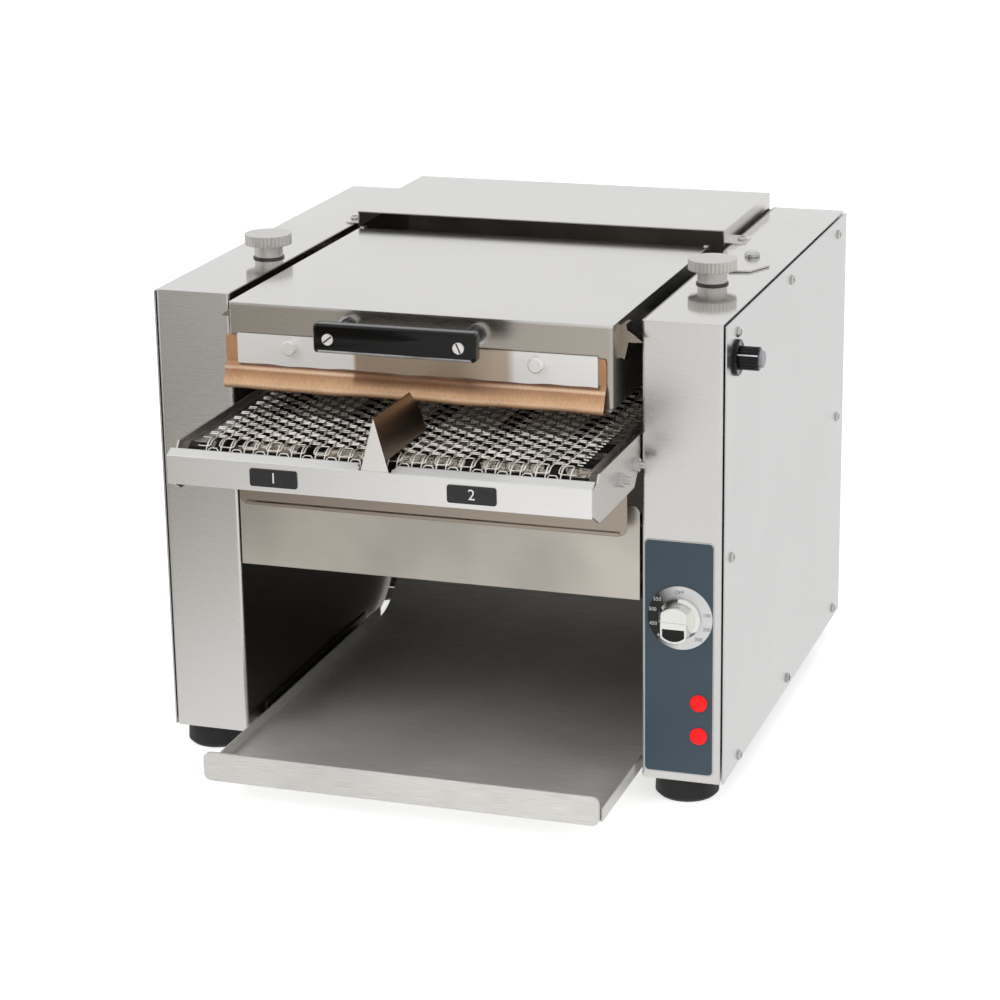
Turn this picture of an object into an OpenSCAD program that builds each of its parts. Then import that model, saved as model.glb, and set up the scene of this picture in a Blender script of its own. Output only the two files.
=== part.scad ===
// Contact bun toaster. A wire belt draws bun halves under a heated platen and drops
// them on a curved tray, which brings them back to the front.
// +X is the operator's right, +Y the back and +Z up. The feet stand on z = 0.

/* [Towers] */
// Width over both side panels
body_w = 477; // [457:1:500]
// Width of one tower
tower_w = 67; // [65:1:72]
// Height of a tower above its feet
tower_h = 377; // [372:1:390]
// Depth of a tower
tower_d = 443; // [436:1:460]
// Thickness of the casing sheet
sheet_t = 1.2; // [1:0.1:1.5]
// Outer radius of a vertical bend in the casing
bend_r = 2.5; // [2:0.5:4]
// Edge of a side panel behind the edge of its tower
panel_gap = 1.5; // [1:0.5:4]
// Shadow gap between a tower and its side panel
panel_off = 1.5; // [1:0.1:2]
// Depth of the flanges that carry a side panel at front and back
panel_flange = 62; // [60:1:70]
// Height of the flange that carries a side panel at the top
top_flange = 24; // [20:1:30]
// Distance of the upper side panel screw from the front
panel_screw_y = 37; // [30:1:40]
// Distance of the side panel screws from the back
panel_screw_back = 29; // [22:1:40]
// Drop of the upper side panel screws from the top
panel_screw_top = 14; // [10:1:18]
// Rise of the lower side panel screws from the bottom
panel_screw_low = 7.5; // [6.5:0.5:12]
// Reach of the feet plates under a tower
foot_plate = 62; // [56:1:80]

/* [Fasteners] */
// Head diameter of a casing screw
screw_head_d = 8.4; // [7:0.2:9]
// Head height of a casing screw
screw_head_h = 2.4; // [2:0.1:3]
// Shank diameter of a casing screw
screw_d = 4; // [3:0.5:5]
// Shank length of a casing screw
screw_len = 6; // [5:0.5:9]
// Radial clearance of a hole round a fastener
hole_clear = 0.2; // [0.1:0.05:0.4]

/* [Feet] */
// Height of a rubber foot
foot_h = 23; // [18:1:30]
// Diameter of a rubber foot
foot_d = 52; // [44:1:56]
// Distance of the left feet from the outer side of their tower
foot_left = 25; // [24:1:33]
// Distance of the right feet from the outer side of their tower
foot_right = 38; // [30:1:39]
// Distance of the front feet from the front of a tower
foot_front = 34; // [28:1:36]
// Distance of the back feet from the back of a tower
foot_back = 17; // [15:1:30]

/* [Conveyor] */
// Reach of the feed lip in front of the towers
front_reach = 133; // [120:1:150]
// Drop of the belt's top below the tower tops
belt_drop = 89; // [86:1:92]
// Radius of the belt's wire line round its end rollers
nose_r = 12.5; // [12:0.1:13.5]
// Thickness of the belt wire
wire_d = 1.7; // [1.4:0.1:2]
// Pitch of the belt's wires along its run
wire_pitch = 13.8; // [12.5:0.1:14.5]
// Wave length of a belt wire across the belt
wave_w = 19.6; // [18:0.2:24]
// Share of a wave that is its narrow crest
crest_share = 0.36; // [0.3:0.02:0.45]
// Open gap between neighbouring wires
wire_gap = 0.3; // [0.2:0.05:0.5]
// Distance from a conveyor plate to the edge of the belt
belt_edge = 15.5; // [14:0.5:20]
// Thickness of a conveyor plate
plate_t = 1.6; // [1.2:0.1:2]
// Side clearance of the conveyor between the towers
side_clear = 0.8; // [0.5:0.1:0.9]
// Height of a conveyor plate
plate_h = 38; // [36:1:42]
// Drop of the belt below the top of a conveyor plate
plate_drop = 1.8; // [1:0.1:3]
// Diameter of the two belt shafts
shaft_d = 10; // [8:1:11]
// Radial running clearance of shafts, screws and pins
run_clear = 0.05; // [0.03:0.01:0.08]
// Number of rollers or sprockets on a belt shaft
roller_n = 5; // [3:1:7]
// Teeth of a belt sprocket
belt_teeth = 10; // [8:1:12]
// Height of the feed lip's face
lip_h = 22.5; // [20:0.5:26]

/* [Lane divider] */
// Height of the divider's ridge above the feed lip
divider_h = 41.5; // [36:0.5:46]
// Width of the divider at the feed lip
divider_w = 23.5; // [20:0.5:28]

/* [Platen] */
// Free height between belt and release sheet
feed_gap = 22; // [18:0.5:26]
// Side gap between platen and towers
platen_side = 13.7; // [12.5:0.1:15]
// Front of the platen in front of the towers
platen_front = 33; // [28:1:40]
// Back edge of the platen behind the tower fronts
platen_back = 258; // [250:1:262]
// Rise of the platen's top over the tower tops
platen_rise = 2; // [0:0.5:3]
// Thickness of the heated plate
plate_cast = 18; // [14:1:22]
// Thickness of the release sheet
release_t = 0.8; // [0.5:0.1:1]
// Radius of the release sheet's fold
fold_r = 5; // [4:0.5:6]
// Forward flare of the release sheet at its fold
fold_out = 10; // [7:0.5:12]
// Length of the handle bar
handle_l = 132; // [120:1:150]
// Height of the handle bar
handle_h = 23; // [20:1:26]
// Thickness of the handle bar
handle_t = 11; // [8:1:14]
// Distance of the handle bar's front from the platen
handle_reach = 47; // [42:1:54]
// Distance between the handle posts
handle_span = 106; // [96:1:112]

/* [Adjusters] */
// Distance of an adjusting screw from the tower fronts
adjust_y = 134; // [125:1:140]
// Distance of an adjusting screw from the inner wall
adjust_in = 21.5; // [20:0.5:24]
// Diameter of an adjusting knob
knob_d = 39.5; // [36:0.5:44]
// Thickness of an adjusting knob's rim
knob_t = 8.7; // [7:0.1:10]
// Diameter of an adjusting knob's stem
stem_d = 24; // [20:1:26]
// Height of an adjusting knob's stem
stem_h = 12; // [9:0.5:14]
// Grooves in an adjusting knob's rim
knob_grooves = 36; // [24:1:48]
// Diameter of an adjusting screw
lead_d = 10; // [8:1:11]
// Downward travel of an adjusting carriage
carriage_travel = 12; // [8:1:14]

/* [Rear cover] */
// Height of the rear cover over the tower tops
cover_rise = 12.4; // [11.5:0.1:14]
// Front edge of the rear cover behind the tower fronts
cover_front = 277; // [274:1:285]

/* [Tray] */
// Reach of the tray's lip in front of the towers
tray_reach = 103; // [90:1:115]
// Height of the tray's lip
tray_lip_h = 23; // [18:1:28]
// Radius of the curl at the back of the tray
tray_curl = 60; // [50:1:64]
// Distance from the back of the towers to the chute
chute_back = 84; // [80:1:92]
// Side gap between tray and towers
tray_side = 5.5; // [5:0.1:7]
// Height of the tray's side flanges
tray_flange = 10; // [8:1:13]

/* [Controls] */
// Width of the control overlay
overlay_w = 57; // [54:1:58]
// Height of the control overlay
overlay_h = 195.5; // [180:0.5:200]
// Diameter of the dial ring
dial_d = 52.5; // [48:0.5:56]
// Height of the dial's centre above the tower bottom
dial_z = 138.5; // [125:0.5:150]
// Diameter of the thermostat knob's skirt
thermo_d = 34; // [32:1:40]
// Reach of the thermostat knob
thermo_reach = 22; // [18:1:28]
// Diameter of an indicator lamp
lamp_d = 14; // [10:1:16]
// Diameter of the speed knob's skirt
speed_d = 29; // [26:1:32]
// Reach of the speed knob
speed_reach = 22; // [20:1:30]

/* [Hidden] */
$fn = 48;

// Towers: inner wall, inner face of a side panel, outer face of a tower, and foot axes
wall_x = body_w / 2 - tower_w;
panel_x = body_w / 2 - sheet_t;
shell_x = panel_x - panel_off;
pad_r = 4;
foot_xs = [foot_left - body_w / 2, body_w / 2 - foot_right];
foot_ys = [foot_front, tower_d - foot_back];
seat = 0.3;

// Conveyor
belt_top = tower_h - belt_drop;
conv_x = wall_x - side_clear;
conv_in = conv_x - plate_t;
belt_x = conv_in - belt_edge;
wire_h = wire_d / 2;
nose_z = belt_top - wire_h - nose_r;
tip_y = -(front_reach - 20.5);
nose_y = tip_y + 8.5;
chute_y = tower_d - chute_back;
drive_y = chute_y - 45;
run_l = drive_y - nose_y;
plate_top = belt_top - plate_drop;
plate_low = plate_top - plate_h;
lip_y = -front_reach;
lip_top = belt_top - 8;
ledge_z = plate_top - 6;
roller_r = nose_r - wire_h - seat;
roller_w = 8;
roller_step = 2 * (belt_x - 18) / (roller_n - 1);
bed_top = belt_top - wire_d - seat;
rail_w = 10;
rail_h = 7;
bar_t = 3;
bar_w = 16;
bar_ys = [-59, -17, 120, drive_y - 60];
stud_z = plate_low + plate_h / 2 - 0.7;
bush_r = 7;
bolt_r = 3;
bolt_z = plate_low + 17;
boss_w = 7;
heel = 9;
bolt_ys = [60, 190, drive_y - 24];

// Platen
release_low = belt_top + feed_gap;
plate_z = release_low + release_t;
platen_x = wall_x - platen_side;
platen_y = -platen_front;
platen_top = tower_h + platen_rise;
skirt_low = plate_z + 3.2;
cast_gap = 0.4;
cast_x = platen_x - sheet_t - cast_gap;
clamp_z = platen_top - 37;
clamp_h = 26;
clamp_xs = [7.4 - platen_x, platen_x - 11];
clamp_t = 1.6;
clamp_stud_z = clamp_z + 4;
stud_mid = -3.4;
stud_xs = [for (s = [-1, 1]) stud_mid + s * (platen_x - 56)];
handle_z = platen_top - 12.5;
handle_y = platen_y - handle_reach;
handle_mid = -2.2;
post_xs = [for (s = [-1, 1]) handle_mid + s * handle_span / 2];
pivot_y = platen_back + 6;
pivot_z = platen_top - 27;
pivot_r = 5;
ear_x = platen_x - sheet_t;
support_r = 4;
support_z = platen_top - 34;

// Adjusters
adjust_x = wall_x + adjust_in;
carriage_top = support_z - support_r - seat;
carriage_h = 18;
carriage_w = 26;
arm_h = 10;
arm_w = 12;
arm_clear = 1;
screw_low = carriage_top - carriage_h - carriage_travel - 14;

// Drive in the right tower
drive_x = wall_x + 22;
chain_w = 5;
chain_r = 20;
chain_t = 4;
motor_z = nose_z - 125;

// Tray
tray_x = wall_x - tray_side;
tray_curl_y = chute_y - tray_curl;
rail_front = 40;
rail_back = tray_curl_y - 24;
tray_corner = 6;
tray_start = 10 - tray_reach;

// Controls on the right tower
control_x = body_w / 2 - tower_w / 2 - 1.8;
overlay_x = control_x - 1.2;
overlay_t = 0.6;
overlay_z = 6.4;
dial_t = 1;
lamp_x = body_w / 2 - 20;
lamp_zs = [dial_z - 70.5, dial_z - 98.5];
speed_y = 32;
speed_z = tower_h - 33;
latch_at = [body_w / 2 - 36, 231];
latch_t = 1.5;
gland_z = 58;
gland_r = 12;
gland_out = 14;

// Origin: the middle of the outer box on the surface that the feet stand on
label_t = 0.8;
origin_x = (speed_reach - screw_head_h) / 2;
origin_y = (tower_d + gland_out - front_reach - label_t) / 2;

// Small helpers

module place() translate([-origin_x, -origin_y, foot_h]) children();

module span(lo, hi) translate(lo) cube(hi - lo);

module both_sides() {
    children();
    mirror([1, 0, 0]) children();
}

module along_x(x0, x1) translate([x0, 0, 0]) rotate([90, 0, 90]) linear_extrude(x1 - x0) children();

module along_y(y0, y1) translate([0, y1, 0]) rotate([90, 0, 0]) linear_extrude(y1 - y0) children();

module rod_x(r, x0, x1, y, z) translate([x0, y, z]) rotate([0, 90, 0]) cylinder(r = r, h = x1 - x0);

module rod_y(r, y0, y1, x, z) translate([x, y0, z]) rotate([-90, 0, 0]) cylinder(r = r, h = y1 - y0);

module rod_z(r, z0, z1, x, y) translate([x, y, z0]) cylinder(r = r, h = z1 - z0);

module round_rect(w, h, r) {
    translate([r, 0]) square([w - 2 * r, h]);
    translate([0, r]) square([w, h - 2 * r]);
    for (x = [r, w - r], y = [r, h - r]) translate([x, y]) circle(r);
}

module pan_screw(len = screw_len) rotate_extrude() polygon([
    [0, -len], [screw_d / 2, -len], [screw_d / 2, 0], [screw_head_d / 2, 0],
    [screw_head_d / 2, screw_head_h * 0.45], [screw_head_d * 0.34, screw_head_h], [0, screw_head_h]
]);

// Casing

screw_shift = 15.5;
panel_mid_z = tower_h / 2;
panel_ys = [panel_screw_y, tower_d / 2, tower_d - panel_screw_back - screw_shift / 2];
panel_screw_sites = [
    for (y = panel_ys) [y, tower_h - panel_screw_top],
    [panel_screw_y - screw_shift, panel_mid_z - sheet_t * 3],
    [tower_d - panel_screw_back, panel_mid_z + sheet_t * 4],
    [panel_screw_y + screw_shift, panel_screw_low - sheet_t * 1.5],
    [tower_d - panel_screw_back, panel_screw_low + sheet_t * 1.5]
];
apron_top = belt_top - 2.7 * lip_h;
apron_h = 77.5;
apron_low = apron_top - apron_h;
apron_screw_zs = [apron_low + 0.22 * apron_h, apron_low + 0.76 * apron_h];
flange_d = 22;
flange_mid = flange_d * 0.55;
apron_screw_y = flange_mid;
rear_screw_zs = [0.32 * tower_h, 0.8 * tower_h];
rear_screw_y = tower_d - flange_mid;
tab_l = 32;
tab_start = 4;
tab_screw = [wall_x + 6.5, cover_front + tab_start + tab_l / 2];

module wall_holes() {
    slot_low = carriage_top - arm_h - carriage_travel - arm_clear;
    slot_w = arm_w + 2 * arm_clear;
    span([wall_x - 1, adjust_y - slot_w / 2, slot_low],
        [wall_x + 2 * sheet_t, adjust_y + slot_w / 2, carriage_top + arm_clear]);
    for (y = bolt_ys) rod_x(bolt_r + hole_clear, wall_x - 1, wall_x + 2 * sheet_t, y, bolt_z);
    for (z = apron_screw_zs)
        rod_x(screw_d / 2 + hole_clear, wall_x - 1, wall_x + 2 * sheet_t, apron_screw_y, z);
    for (z = rear_screw_zs)
        rod_x(screw_d / 2 + hole_clear, wall_x - 1, wall_x + 2 * sheet_t, rear_screw_y, z);
    rod_x(bush_r + 1, wall_x - 1, wall_x + 2 * sheet_t, drive_y, nose_z);
}

// The wall stops along the tray's curl, so that light falls in behind it
module curl_relief() along_x(wall_x - 1, wall_x + 2 * sheet_t) difference() {
    translate([tray_curl_y, -1]) square([tower_d - foot_plate - tray_curl_y, tray_curl + 1]);
    translate([tray_curl_y, tray_curl]) circle(tray_curl, $fn = 96);
}

module panel_holes() for (s = panel_screw_sites)
    rod_x(screw_d / 2 + hole_clear, shell_x - 2 * sheet_t, panel_x + 2 * sheet_t, s[0], s[1]);

// Folded casing with flanges and pads that carry the side panel
module tower(foot_x) difference() {
    union() {
        difference() {
            translate([wall_x, 0, 0]) linear_extrude(tower_h) round_rect(shell_x - wall_x, tower_d, bend_r);
            span([wall_x + sheet_t, sheet_t, -1], [shell_x + 1, tower_d - sheet_t, tower_h - sheet_t]);
        }
        for (y = [sheet_t, tower_d - panel_flange])
            translate([shell_x - sheet_t, y, 0]) cube([sheet_t, panel_flange - sheet_t, tower_h - sheet_t]);
        span([shell_x - sheet_t, sheet_t, tower_h - top_flange],
            [shell_x, tower_d - sheet_t, tower_h - sheet_t]);
        for (s = panel_screw_sites) rod_x(pad_r, shell_x - sheet_t / 2, panel_x, s[0], s[1]);
        for (y = [sheet_t, tower_d - foot_plate])
            translate([wall_x + sheet_t, y, 0])
                cube([shell_x - wall_x - 2 * sheet_t, foot_plate - sheet_t, sheet_t]);
    }
    wall_holes();
    curl_relief();
    panel_holes();
    rod_z(bush_r + 1, tower_h - 2 * sheet_t, tower_h + 1, adjust_x, adjust_y);
    rod_z(screw_d / 2 + hole_clear, tower_h - 2 * sheet_t, tower_h + 1, tab_screw[0], tab_screw[1]);
    for (y = foot_ys) rod_z(bolt_r + hole_clear, -1, 2 * sheet_t, foot_x, y);
}

module left_tower() color("gainsboro") mirror([1, 0, 0]) tower(-foot_xs[0]);

module right_tower() color("gainsboro") difference() {
    tower(foot_xs[1]);
    rod_y(3.5, -1, 2 * sheet_t, control_x, dial_z);
    for (z = lamp_zs) rod_y(lamp_d * 0.36 + hole_clear, -1, 2 * sheet_t, lamp_x, z);
    rod_x(3.5, shell_x - 2 * sheet_t, shell_x + 1, speed_y, speed_z);
    rod_z(screw_d / 2 + hole_clear, tower_h - 2 * sheet_t, tower_h + 1, latch_at[0], latch_at[1]);
    rod_y(8 + hole_clear, tower_d - 2 * sheet_t, tower_d + 1, control_x, gland_z);
}

module side_panel() difference() {
    span([panel_x, panel_gap, 0], [body_w / 2, tower_d - panel_gap, tower_h - panel_gap]);
    panel_holes();
}

module left_side_panel() color("gainsboro") mirror([1, 0, 0]) side_panel();

module right_side_panel() color("gainsboro") difference() {
    side_panel();
    rod_x(3.5, panel_x - 1, panel_x + 2 * sheet_t, speed_y, speed_z);
}

module casing_screws() color("silver") both_sides() {
    for (s = panel_screw_sites) translate([body_w / 2, s[0], s[1]]) rotate([0, 90, 0]) pan_screw();
    for (z = apron_screw_zs)
        translate([wall_x - apron_side - sheet_t, apron_screw_y, z]) rotate([0, -90, 0]) pan_screw();
    for (z = rear_screw_zs)
        translate([wall_x - apron_side - sheet_t, rear_screw_y, z]) rotate([0, -90, 0]) pan_screw();
    translate([tab_screw[0], tab_screw[1], tower_h + sheet_t]) pan_screw();
}

cover_x = wall_x - 4.5;
cover_top = tower_h + cover_rise;
cover_back = tower_d + side_clear + sheet_t;
tab_x = wall_x + 11;
tab_y = [cover_front + tab_start, cover_front + tab_start + tab_l];
skirt_h = 45;

module rear_cover() color("gainsboro") difference() {
    union() {
        span([-cover_x, cover_front, cover_top - sheet_t], [cover_x, cover_back, cover_top]);
        span([-cover_x, cover_back - sheet_t, cover_top - skirt_h], [cover_x, cover_back, cover_top]);
        both_sides() {
            span([cover_x - sheet_t, cover_front, tower_h - 1], [cover_x, cover_back, cover_top]);
            translate([0, tab_y[0], tower_h]) intersection() {
                translate([cover_x - 20, 0, 0]) linear_extrude(sheet_t)
                    round_rect(tab_x - cover_x + 20, tab_y[1] - tab_y[0], 6);
                translate([cover_x - sheet_t, 0, 0]) cube([tab_x, tab_y[1] - tab_y[0], sheet_t]);
            }
        }
    }
    both_sides()
        rod_z(screw_d / 2 + hole_clear, tower_h - 1, tower_h + 2 * sheet_t, tab_screw[0], tab_screw[1]);
}

apron_side = 1.6;
rear_low = tray_curl + 2;

module rear_panel() color("silver") difference() {
    union() {
        x = wall_x - apron_side;
        span([-x, tower_d - sheet_t, rear_low], [x, tower_d, tower_h - 2]);
        both_sides() span([x - sheet_t, tower_d - flange_d, rear_low], [x, tower_d, tower_h - 2]);
    }
    both_sides() for (z = rear_screw_zs)
        rod_x(screw_d / 2 + hole_clear, wall_x - 8, wall_x, rear_screw_y, z);
}

chute_top = belt_top + 12;
ear_h = 24;
ear_d = 16;
chute_ear = [rear_low + 1.7 * ear_h, chute_top - 1.7 * ear_h];

module rear_chute() color("silver") {
    span([-tray_x, chute_y, tray_curl + 0.4], [tray_x, chute_y + sheet_t, chute_top]);
    both_sides() {
        span([tray_x - sheet_t, chute_y, tray_curl + 0.4], [tray_x, chute_y + ear_d, chute_top]);
        for (z = chute_ear) {
            span([tray_x - sheet_t, chute_y + ear_d - sheet_t, z], [wall_x, chute_y + ear_d, z + ear_h]);
            span([wall_x - sheet_t, chute_y + ear_d - sheet_t, z], [wall_x, chute_y + 2 * ear_d, z + ear_h]);
        }
    }
}

module apron() color("silver") difference() {
    union() {
        x = wall_x - apron_side;
        along_y(0, sheet_t) translate([-x, apron_low]) {
            round_rect(2 * x, apron_top - apron_low, 6);
            square([2 * x, 10]);
        }
        both_sides() span([x - sheet_t, 0, apron_low], [x, flange_d, apron_top - 8]);
        span([-x, 0, apron_low], [x, flange_mid, apron_low + sheet_t]);
    }
    both_sides() for (z = apron_screw_zs)
        rod_x(screw_d / 2 + hole_clear, wall_x - 8, wall_x, apron_screw_y, z);
}

guard_y = -14;
guard_h = 52;
guard_low = plate_low + 10 - guard_h;
guard_x = conv_in - tray_side;

module belt_guard() color("silver") {
    along_y(guard_y, guard_y + sheet_t) {
        translate([-guard_x, guard_low]) round_rect(2 * guard_x, plate_low + 4 - guard_low, 6);
        translate([-conv_in, plate_low + 1]) square([2 * conv_in, 9]);
    }
    span([-guard_x + 6, guard_y - 2, guard_low], [guard_x - 6, guard_y, guard_low + 3]);
}

module feet() color([0.08, 0.08, 0.08]) for (x = foot_xs, y = foot_ys) translate([x, y, -foot_h])
    rotate_extrude() polygon([
        [0, 4], [9, 4], [9, 0], [foot_d / 2 - 3, 0], [foot_d / 2, 3], [foot_d / 2 - 1, foot_h],
        [bolt_r, foot_h], [bolt_r, foot_h + 8], [0, foot_h + 8]
    ]);

// Conveyor

module conveyor_plate() difference() {
    union() {
        along_x(conv_in, conv_x) polygon([
            [lip_y + sheet_t, lip_top - lip_h + sheet_t], [lip_y + sheet_t, lip_top - 1],
            [tip_y - 4, lip_top], [tip_y + 1, plate_top], [drive_y + 20, plate_top],
            [drive_y + 20, plate_low + heel], [-heel, plate_low + heel], [-2 * heel, plate_low],
            [tip_y, plate_low], [tip_y - 14, plate_low + 8]
        ]);
        span([belt_x + 2, tip_y + 22, ledge_z - sheet_t], [conv_in, drive_y - 2 * bush_r, ledge_z]);
    }
    rod_x(bush_r, conv_in - 1, conv_x + 1, drive_y, nose_z);
    for (y = bar_ys)
        rod_x(bolt_r + hole_clear, conv_in - 1, conv_x + 1, y, stud_z);
    for (y = bolt_ys) rod_x(bolt_r + hole_clear, conv_in - 1, conv_x + 1, y, bolt_z);
}

module left_conveyor_plate() color("silver") mirror([1, 0, 0]) conveyor_plate();

module right_conveyor_plate() color("silver") conveyor_plate();

module hex_nut(h) rotate([0, 90, 0]) cylinder(r = 5.8, h = h, $fn = 6);

// A through bolt along +X with its head at x0 and its nut on the face at x1
module through_bolt(x0, x1, reach, y, z) {
    rod_x(bolt_r, x0, x1 + reach, y, z);
    rod_x(5.2, x0 - 2.6, x0, y, z);
    translate([x1, y, z]) hex_nut(4);
}

module conveyor_bolts() color("gray") both_sides() {
    for (y = [bar_ys[0], bar_ys[1]]) through_bolt(conv_in - bar_t, conv_x, 9, y, stud_z);
    for (y = [bar_ys[2], bar_ys[3]]) {
        rod_x(bolt_r, conv_in - bar_t, conv_x, y, stud_z);
        rod_x(5.2, conv_in - bar_t - 2.6, conv_in - bar_t, y, stud_z);
    }
    for (y = bolt_ys) through_bolt(conv_in, wall_x + sheet_t, 7, y, bolt_z);
}

lip_notch = 15;
flange_rise = 4;
flange_deep = 8.8;

module feed_lip() color("gainsboro") difference() {
    union() {
        along_x(-conv_x, conv_x) {
            translate([lip_y, lip_top - lip_h]) square([sheet_t, lip_h]);
            polygon([
                [lip_y, lip_top - sheet_t], [lip_y, lip_top], [lip_y + flange_deep, lip_top + flange_rise],
                [lip_y + flange_deep, lip_top + flange_rise - sheet_t]
            ]);
        }
        along_x(seat - conv_in, conv_in - seat) translate([lip_y, lip_top - lip_h])
            square([flange_deep, sheet_t]);
    }
    translate([-lip_notch, lip_y + sheet_t, lip_top - 6]) linear_extrude(4 * lip_notch) {
        translate([0, 3]) round_rect(2 * lip_notch, 2 * flange_deep, 3);
        translate([2, 0]) square([2 * lip_notch - 4, flange_deep]);
    }
}

divider_top = lip_top + divider_h;
divider_low = belt_top + 0.6;
divider_back = platen_y - 8;
divider_slope = divider_w / 2 / (divider_h + 1.5);

// A folded tent: sloping sides over the belt, a closed front with a tongue behind the lip
module lane_divider() color("silver") {
    half = divider_slope * (divider_top - divider_low);
    inset = sheet_t * 1.05;
    front = lip_y + sheet_t;
    difference() {
        along_y(front, divider_back) polygon([
            [-half, divider_low], [0, divider_top], [half, divider_low], [half - inset, divider_low],
            [0, divider_top - inset / divider_slope], [-half + inset, divider_low]
        ]);
        along_x(-half - 1, half + 1) polygon([
            [divider_back - 12, divider_top + 1], [divider_back + 1, divider_top + 1],
            [divider_back + 1, release_low - 4], [divider_back, release_low - 4]
        ]);
    }
    along_y(front, front + sheet_t) polygon([
        [0, divider_top], [divider_w / 2, lip_top - 1.5], [7, lip_top - 16], [-7, lip_top - 16],
        [-divider_w / 2, lip_top - 1.5]
    ]);
}

label_w = 39;
label_h = 14;
label_xs = [-82, 77.5];

module lane_labels() color([0.1, 0.1, 0.1]) for (x = label_xs)
    along_y(lip_y - label_t, lip_y) translate([x - label_w / 2, lip_top - lip_h + 4])
        round_rect(label_w, label_h, 2);

// One belt wire: a flat square wave with wide troughs and narrow crests
waves = floor((2 * belt_x - wave_w * (1 - crest_share)) / wave_w);
crest = crest_share * wave_w;
trough = wave_w - crest;
wave_amp = wire_pitch / 2 - wire_gap / 2 - wire_h;
wave_left = -(waves * wave_w + trough) / 2;

function wave_at(k, points) = [for (p = points) [wave_left + k * wave_w + p[0], p[1]]];

function upper_step(amp) = [
    [trough - wire_h, wire_h - amp], [trough - wire_h, amp + wire_h],
    [wave_w + wire_h, amp + wire_h], [wave_w + wire_h, wire_h - amp]
];

function lower_step(amp) = [
    [wave_w - wire_h, -amp - wire_h], [wave_w - wire_h, amp - wire_h],
    [trough + wire_h, amp - wire_h], [trough + wire_h, -amp - wire_h]
];

module belt_wire(amp, h) linear_extrude(h, center = true) polygon(concat(
    [[wave_left, wire_h - amp]],
    [for (k = [0 : waves - 1]) each wave_at(k, upper_step(amp))],
    [[-wave_left, wire_h - amp], [-wave_left, -amp - wire_h]],
    [for (k = [waves - 1 : -1 : 0]) each wave_at(k, lower_step(amp))],
    [[wave_left, -amp - wire_h]]
));

nose_n = round(PI * nose_r / wire_pitch);
nose_amp = (nose_r - wire_h) * sin(90 / nose_n) - wire_gap - wire_h;

// A wire that is bent round the end roller
module nose_wire(turn) intersection() {
    rotate([turn, 0, 0]) translate([0, 0, nose_r]) belt_wire(nose_amp, nose_r);
    difference() {
        rod_x(nose_r + wire_h, -belt_x - 1, belt_x + 1, 0, 0);
        rod_x(nose_r - wire_h, -belt_x - 2, belt_x + 2, 0, 0);
    }
}
open_n = floor((platen_front + 46) / wire_pitch) + 1;
band_y = nose_y + open_n * wire_pitch;

// Wires over the open feed end, and a plain band where the platen and the tray hide the belt
module wire_belt() color("silver") {
    for (i = [0 : open_n - 1])
        translate([0, nose_y + (i + 0.5) * wire_pitch, nose_z + nose_r]) belt_wire(wave_amp, wire_d);
    for (i = [0 : nose_n - 1]) translate([0, nose_y, nose_z]) nose_wire((i + 0.5) * 180 / nose_n);
    for (run = [[band_y, nose_r], [nose_y, -nose_r]])
        span([-belt_x, run[0] + wire_gap, nose_z + run[1] - wire_h],
            [belt_x, drive_y, nose_z + run[1] + wire_h]);
    along_x(-belt_x, belt_x) difference() {
        translate([drive_y, nose_z]) intersection() {
            circle(nose_r + wire_h);
            translate([wire_gap, -2 * nose_r]) square(4 * nose_r);
        }
        translate([drive_y, nose_z]) circle(nose_r - wire_h);
    }
}

// Cross bars bolted between the plates carry the rails that the belt slides on
module belt_bed() color("silver") difference() {
    union() {
        for (y = bar_ys) {
            span([-conv_in, y - bar_w / 2, bed_top - rail_h - bar_t],
                [conv_in, y + bar_w / 2, bed_top - rail_h]);
            both_sides() span([conv_in - bar_t, y - bar_w / 2, plate_low + 10],
                [conv_in, y + bar_w / 2, bed_top - rail_h]);
        }
        for (k = [0 : roller_n - 1]) {
            x = (k - (roller_n - 1) / 2) * (roller_step - 5);
            span([x - rail_w / 2, nose_y + nose_r + 2, bed_top - rail_h],
                [x + rail_w / 2, drive_y - nose_r - 2, bed_top]);
        }
    }
    both_sides() for (y = bar_ys) rod_x(bolt_r + hole_clear, conv_in - 2 * bar_t, conv_in + 1, y, stud_z);
}

// Blind bosses on the plates at the nose, flanged bushings through them at the drive
module shaft_bushings() color("darkgoldenrod") both_sides() difference() {
    union() {
        rod_x(bush_r + 2.5, conv_in - boss_w, conv_in, nose_y, nose_z);
        rod_x(bush_r, conv_in, conv_x, drive_y, nose_z);
        rod_x(bush_r + 2.5, conv_in - 2, conv_in, drive_y, nose_z);
    }
    for (y = [nose_y, drive_y]) rod_x(shaft_d / 2 + run_clear, conv_in - 2 * boss_w, conv_x + 1, y, nose_z);
}

module rollers(y) for (k = [0 : roller_n - 1]) {
    x = (k - (roller_n - 1) / 2) * roller_step;
    difference() {
        translate([x - roller_w / 2, 0, 0]) children();
        rod_x(shaft_d / 2 + run_clear, x - roller_w, x + roller_w, y, nose_z);
    }
}

module front_shaft() color("gray") rod_x(shaft_d / 2, seat - conv_in, conv_in - seat, nose_y, nose_z);

module front_rollers() color("darkgray") rollers(nose_y) rod_x(roller_r, 0, roller_w, nose_y, nose_z);

module drive_shaft() color("gray")
    rod_x(shaft_d / 2, -conv_x, drive_x + chain_w + 6, drive_y, nose_z);

// A round blank with a round gullet between every two teeth
module toothed(r, teeth, gullet) difference() {
    circle(r);
    for (k = [0 : teeth - 1]) rotate(360 / teeth * k) translate([r + gullet * 0.25, 0]) circle(gullet);
}

module drive_sprockets() color("darkgray") rollers(drive_y)
    along_x(0, roller_w) translate([drive_y, nose_z]) toothed(roller_r, belt_teeth, 2.2);

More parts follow.
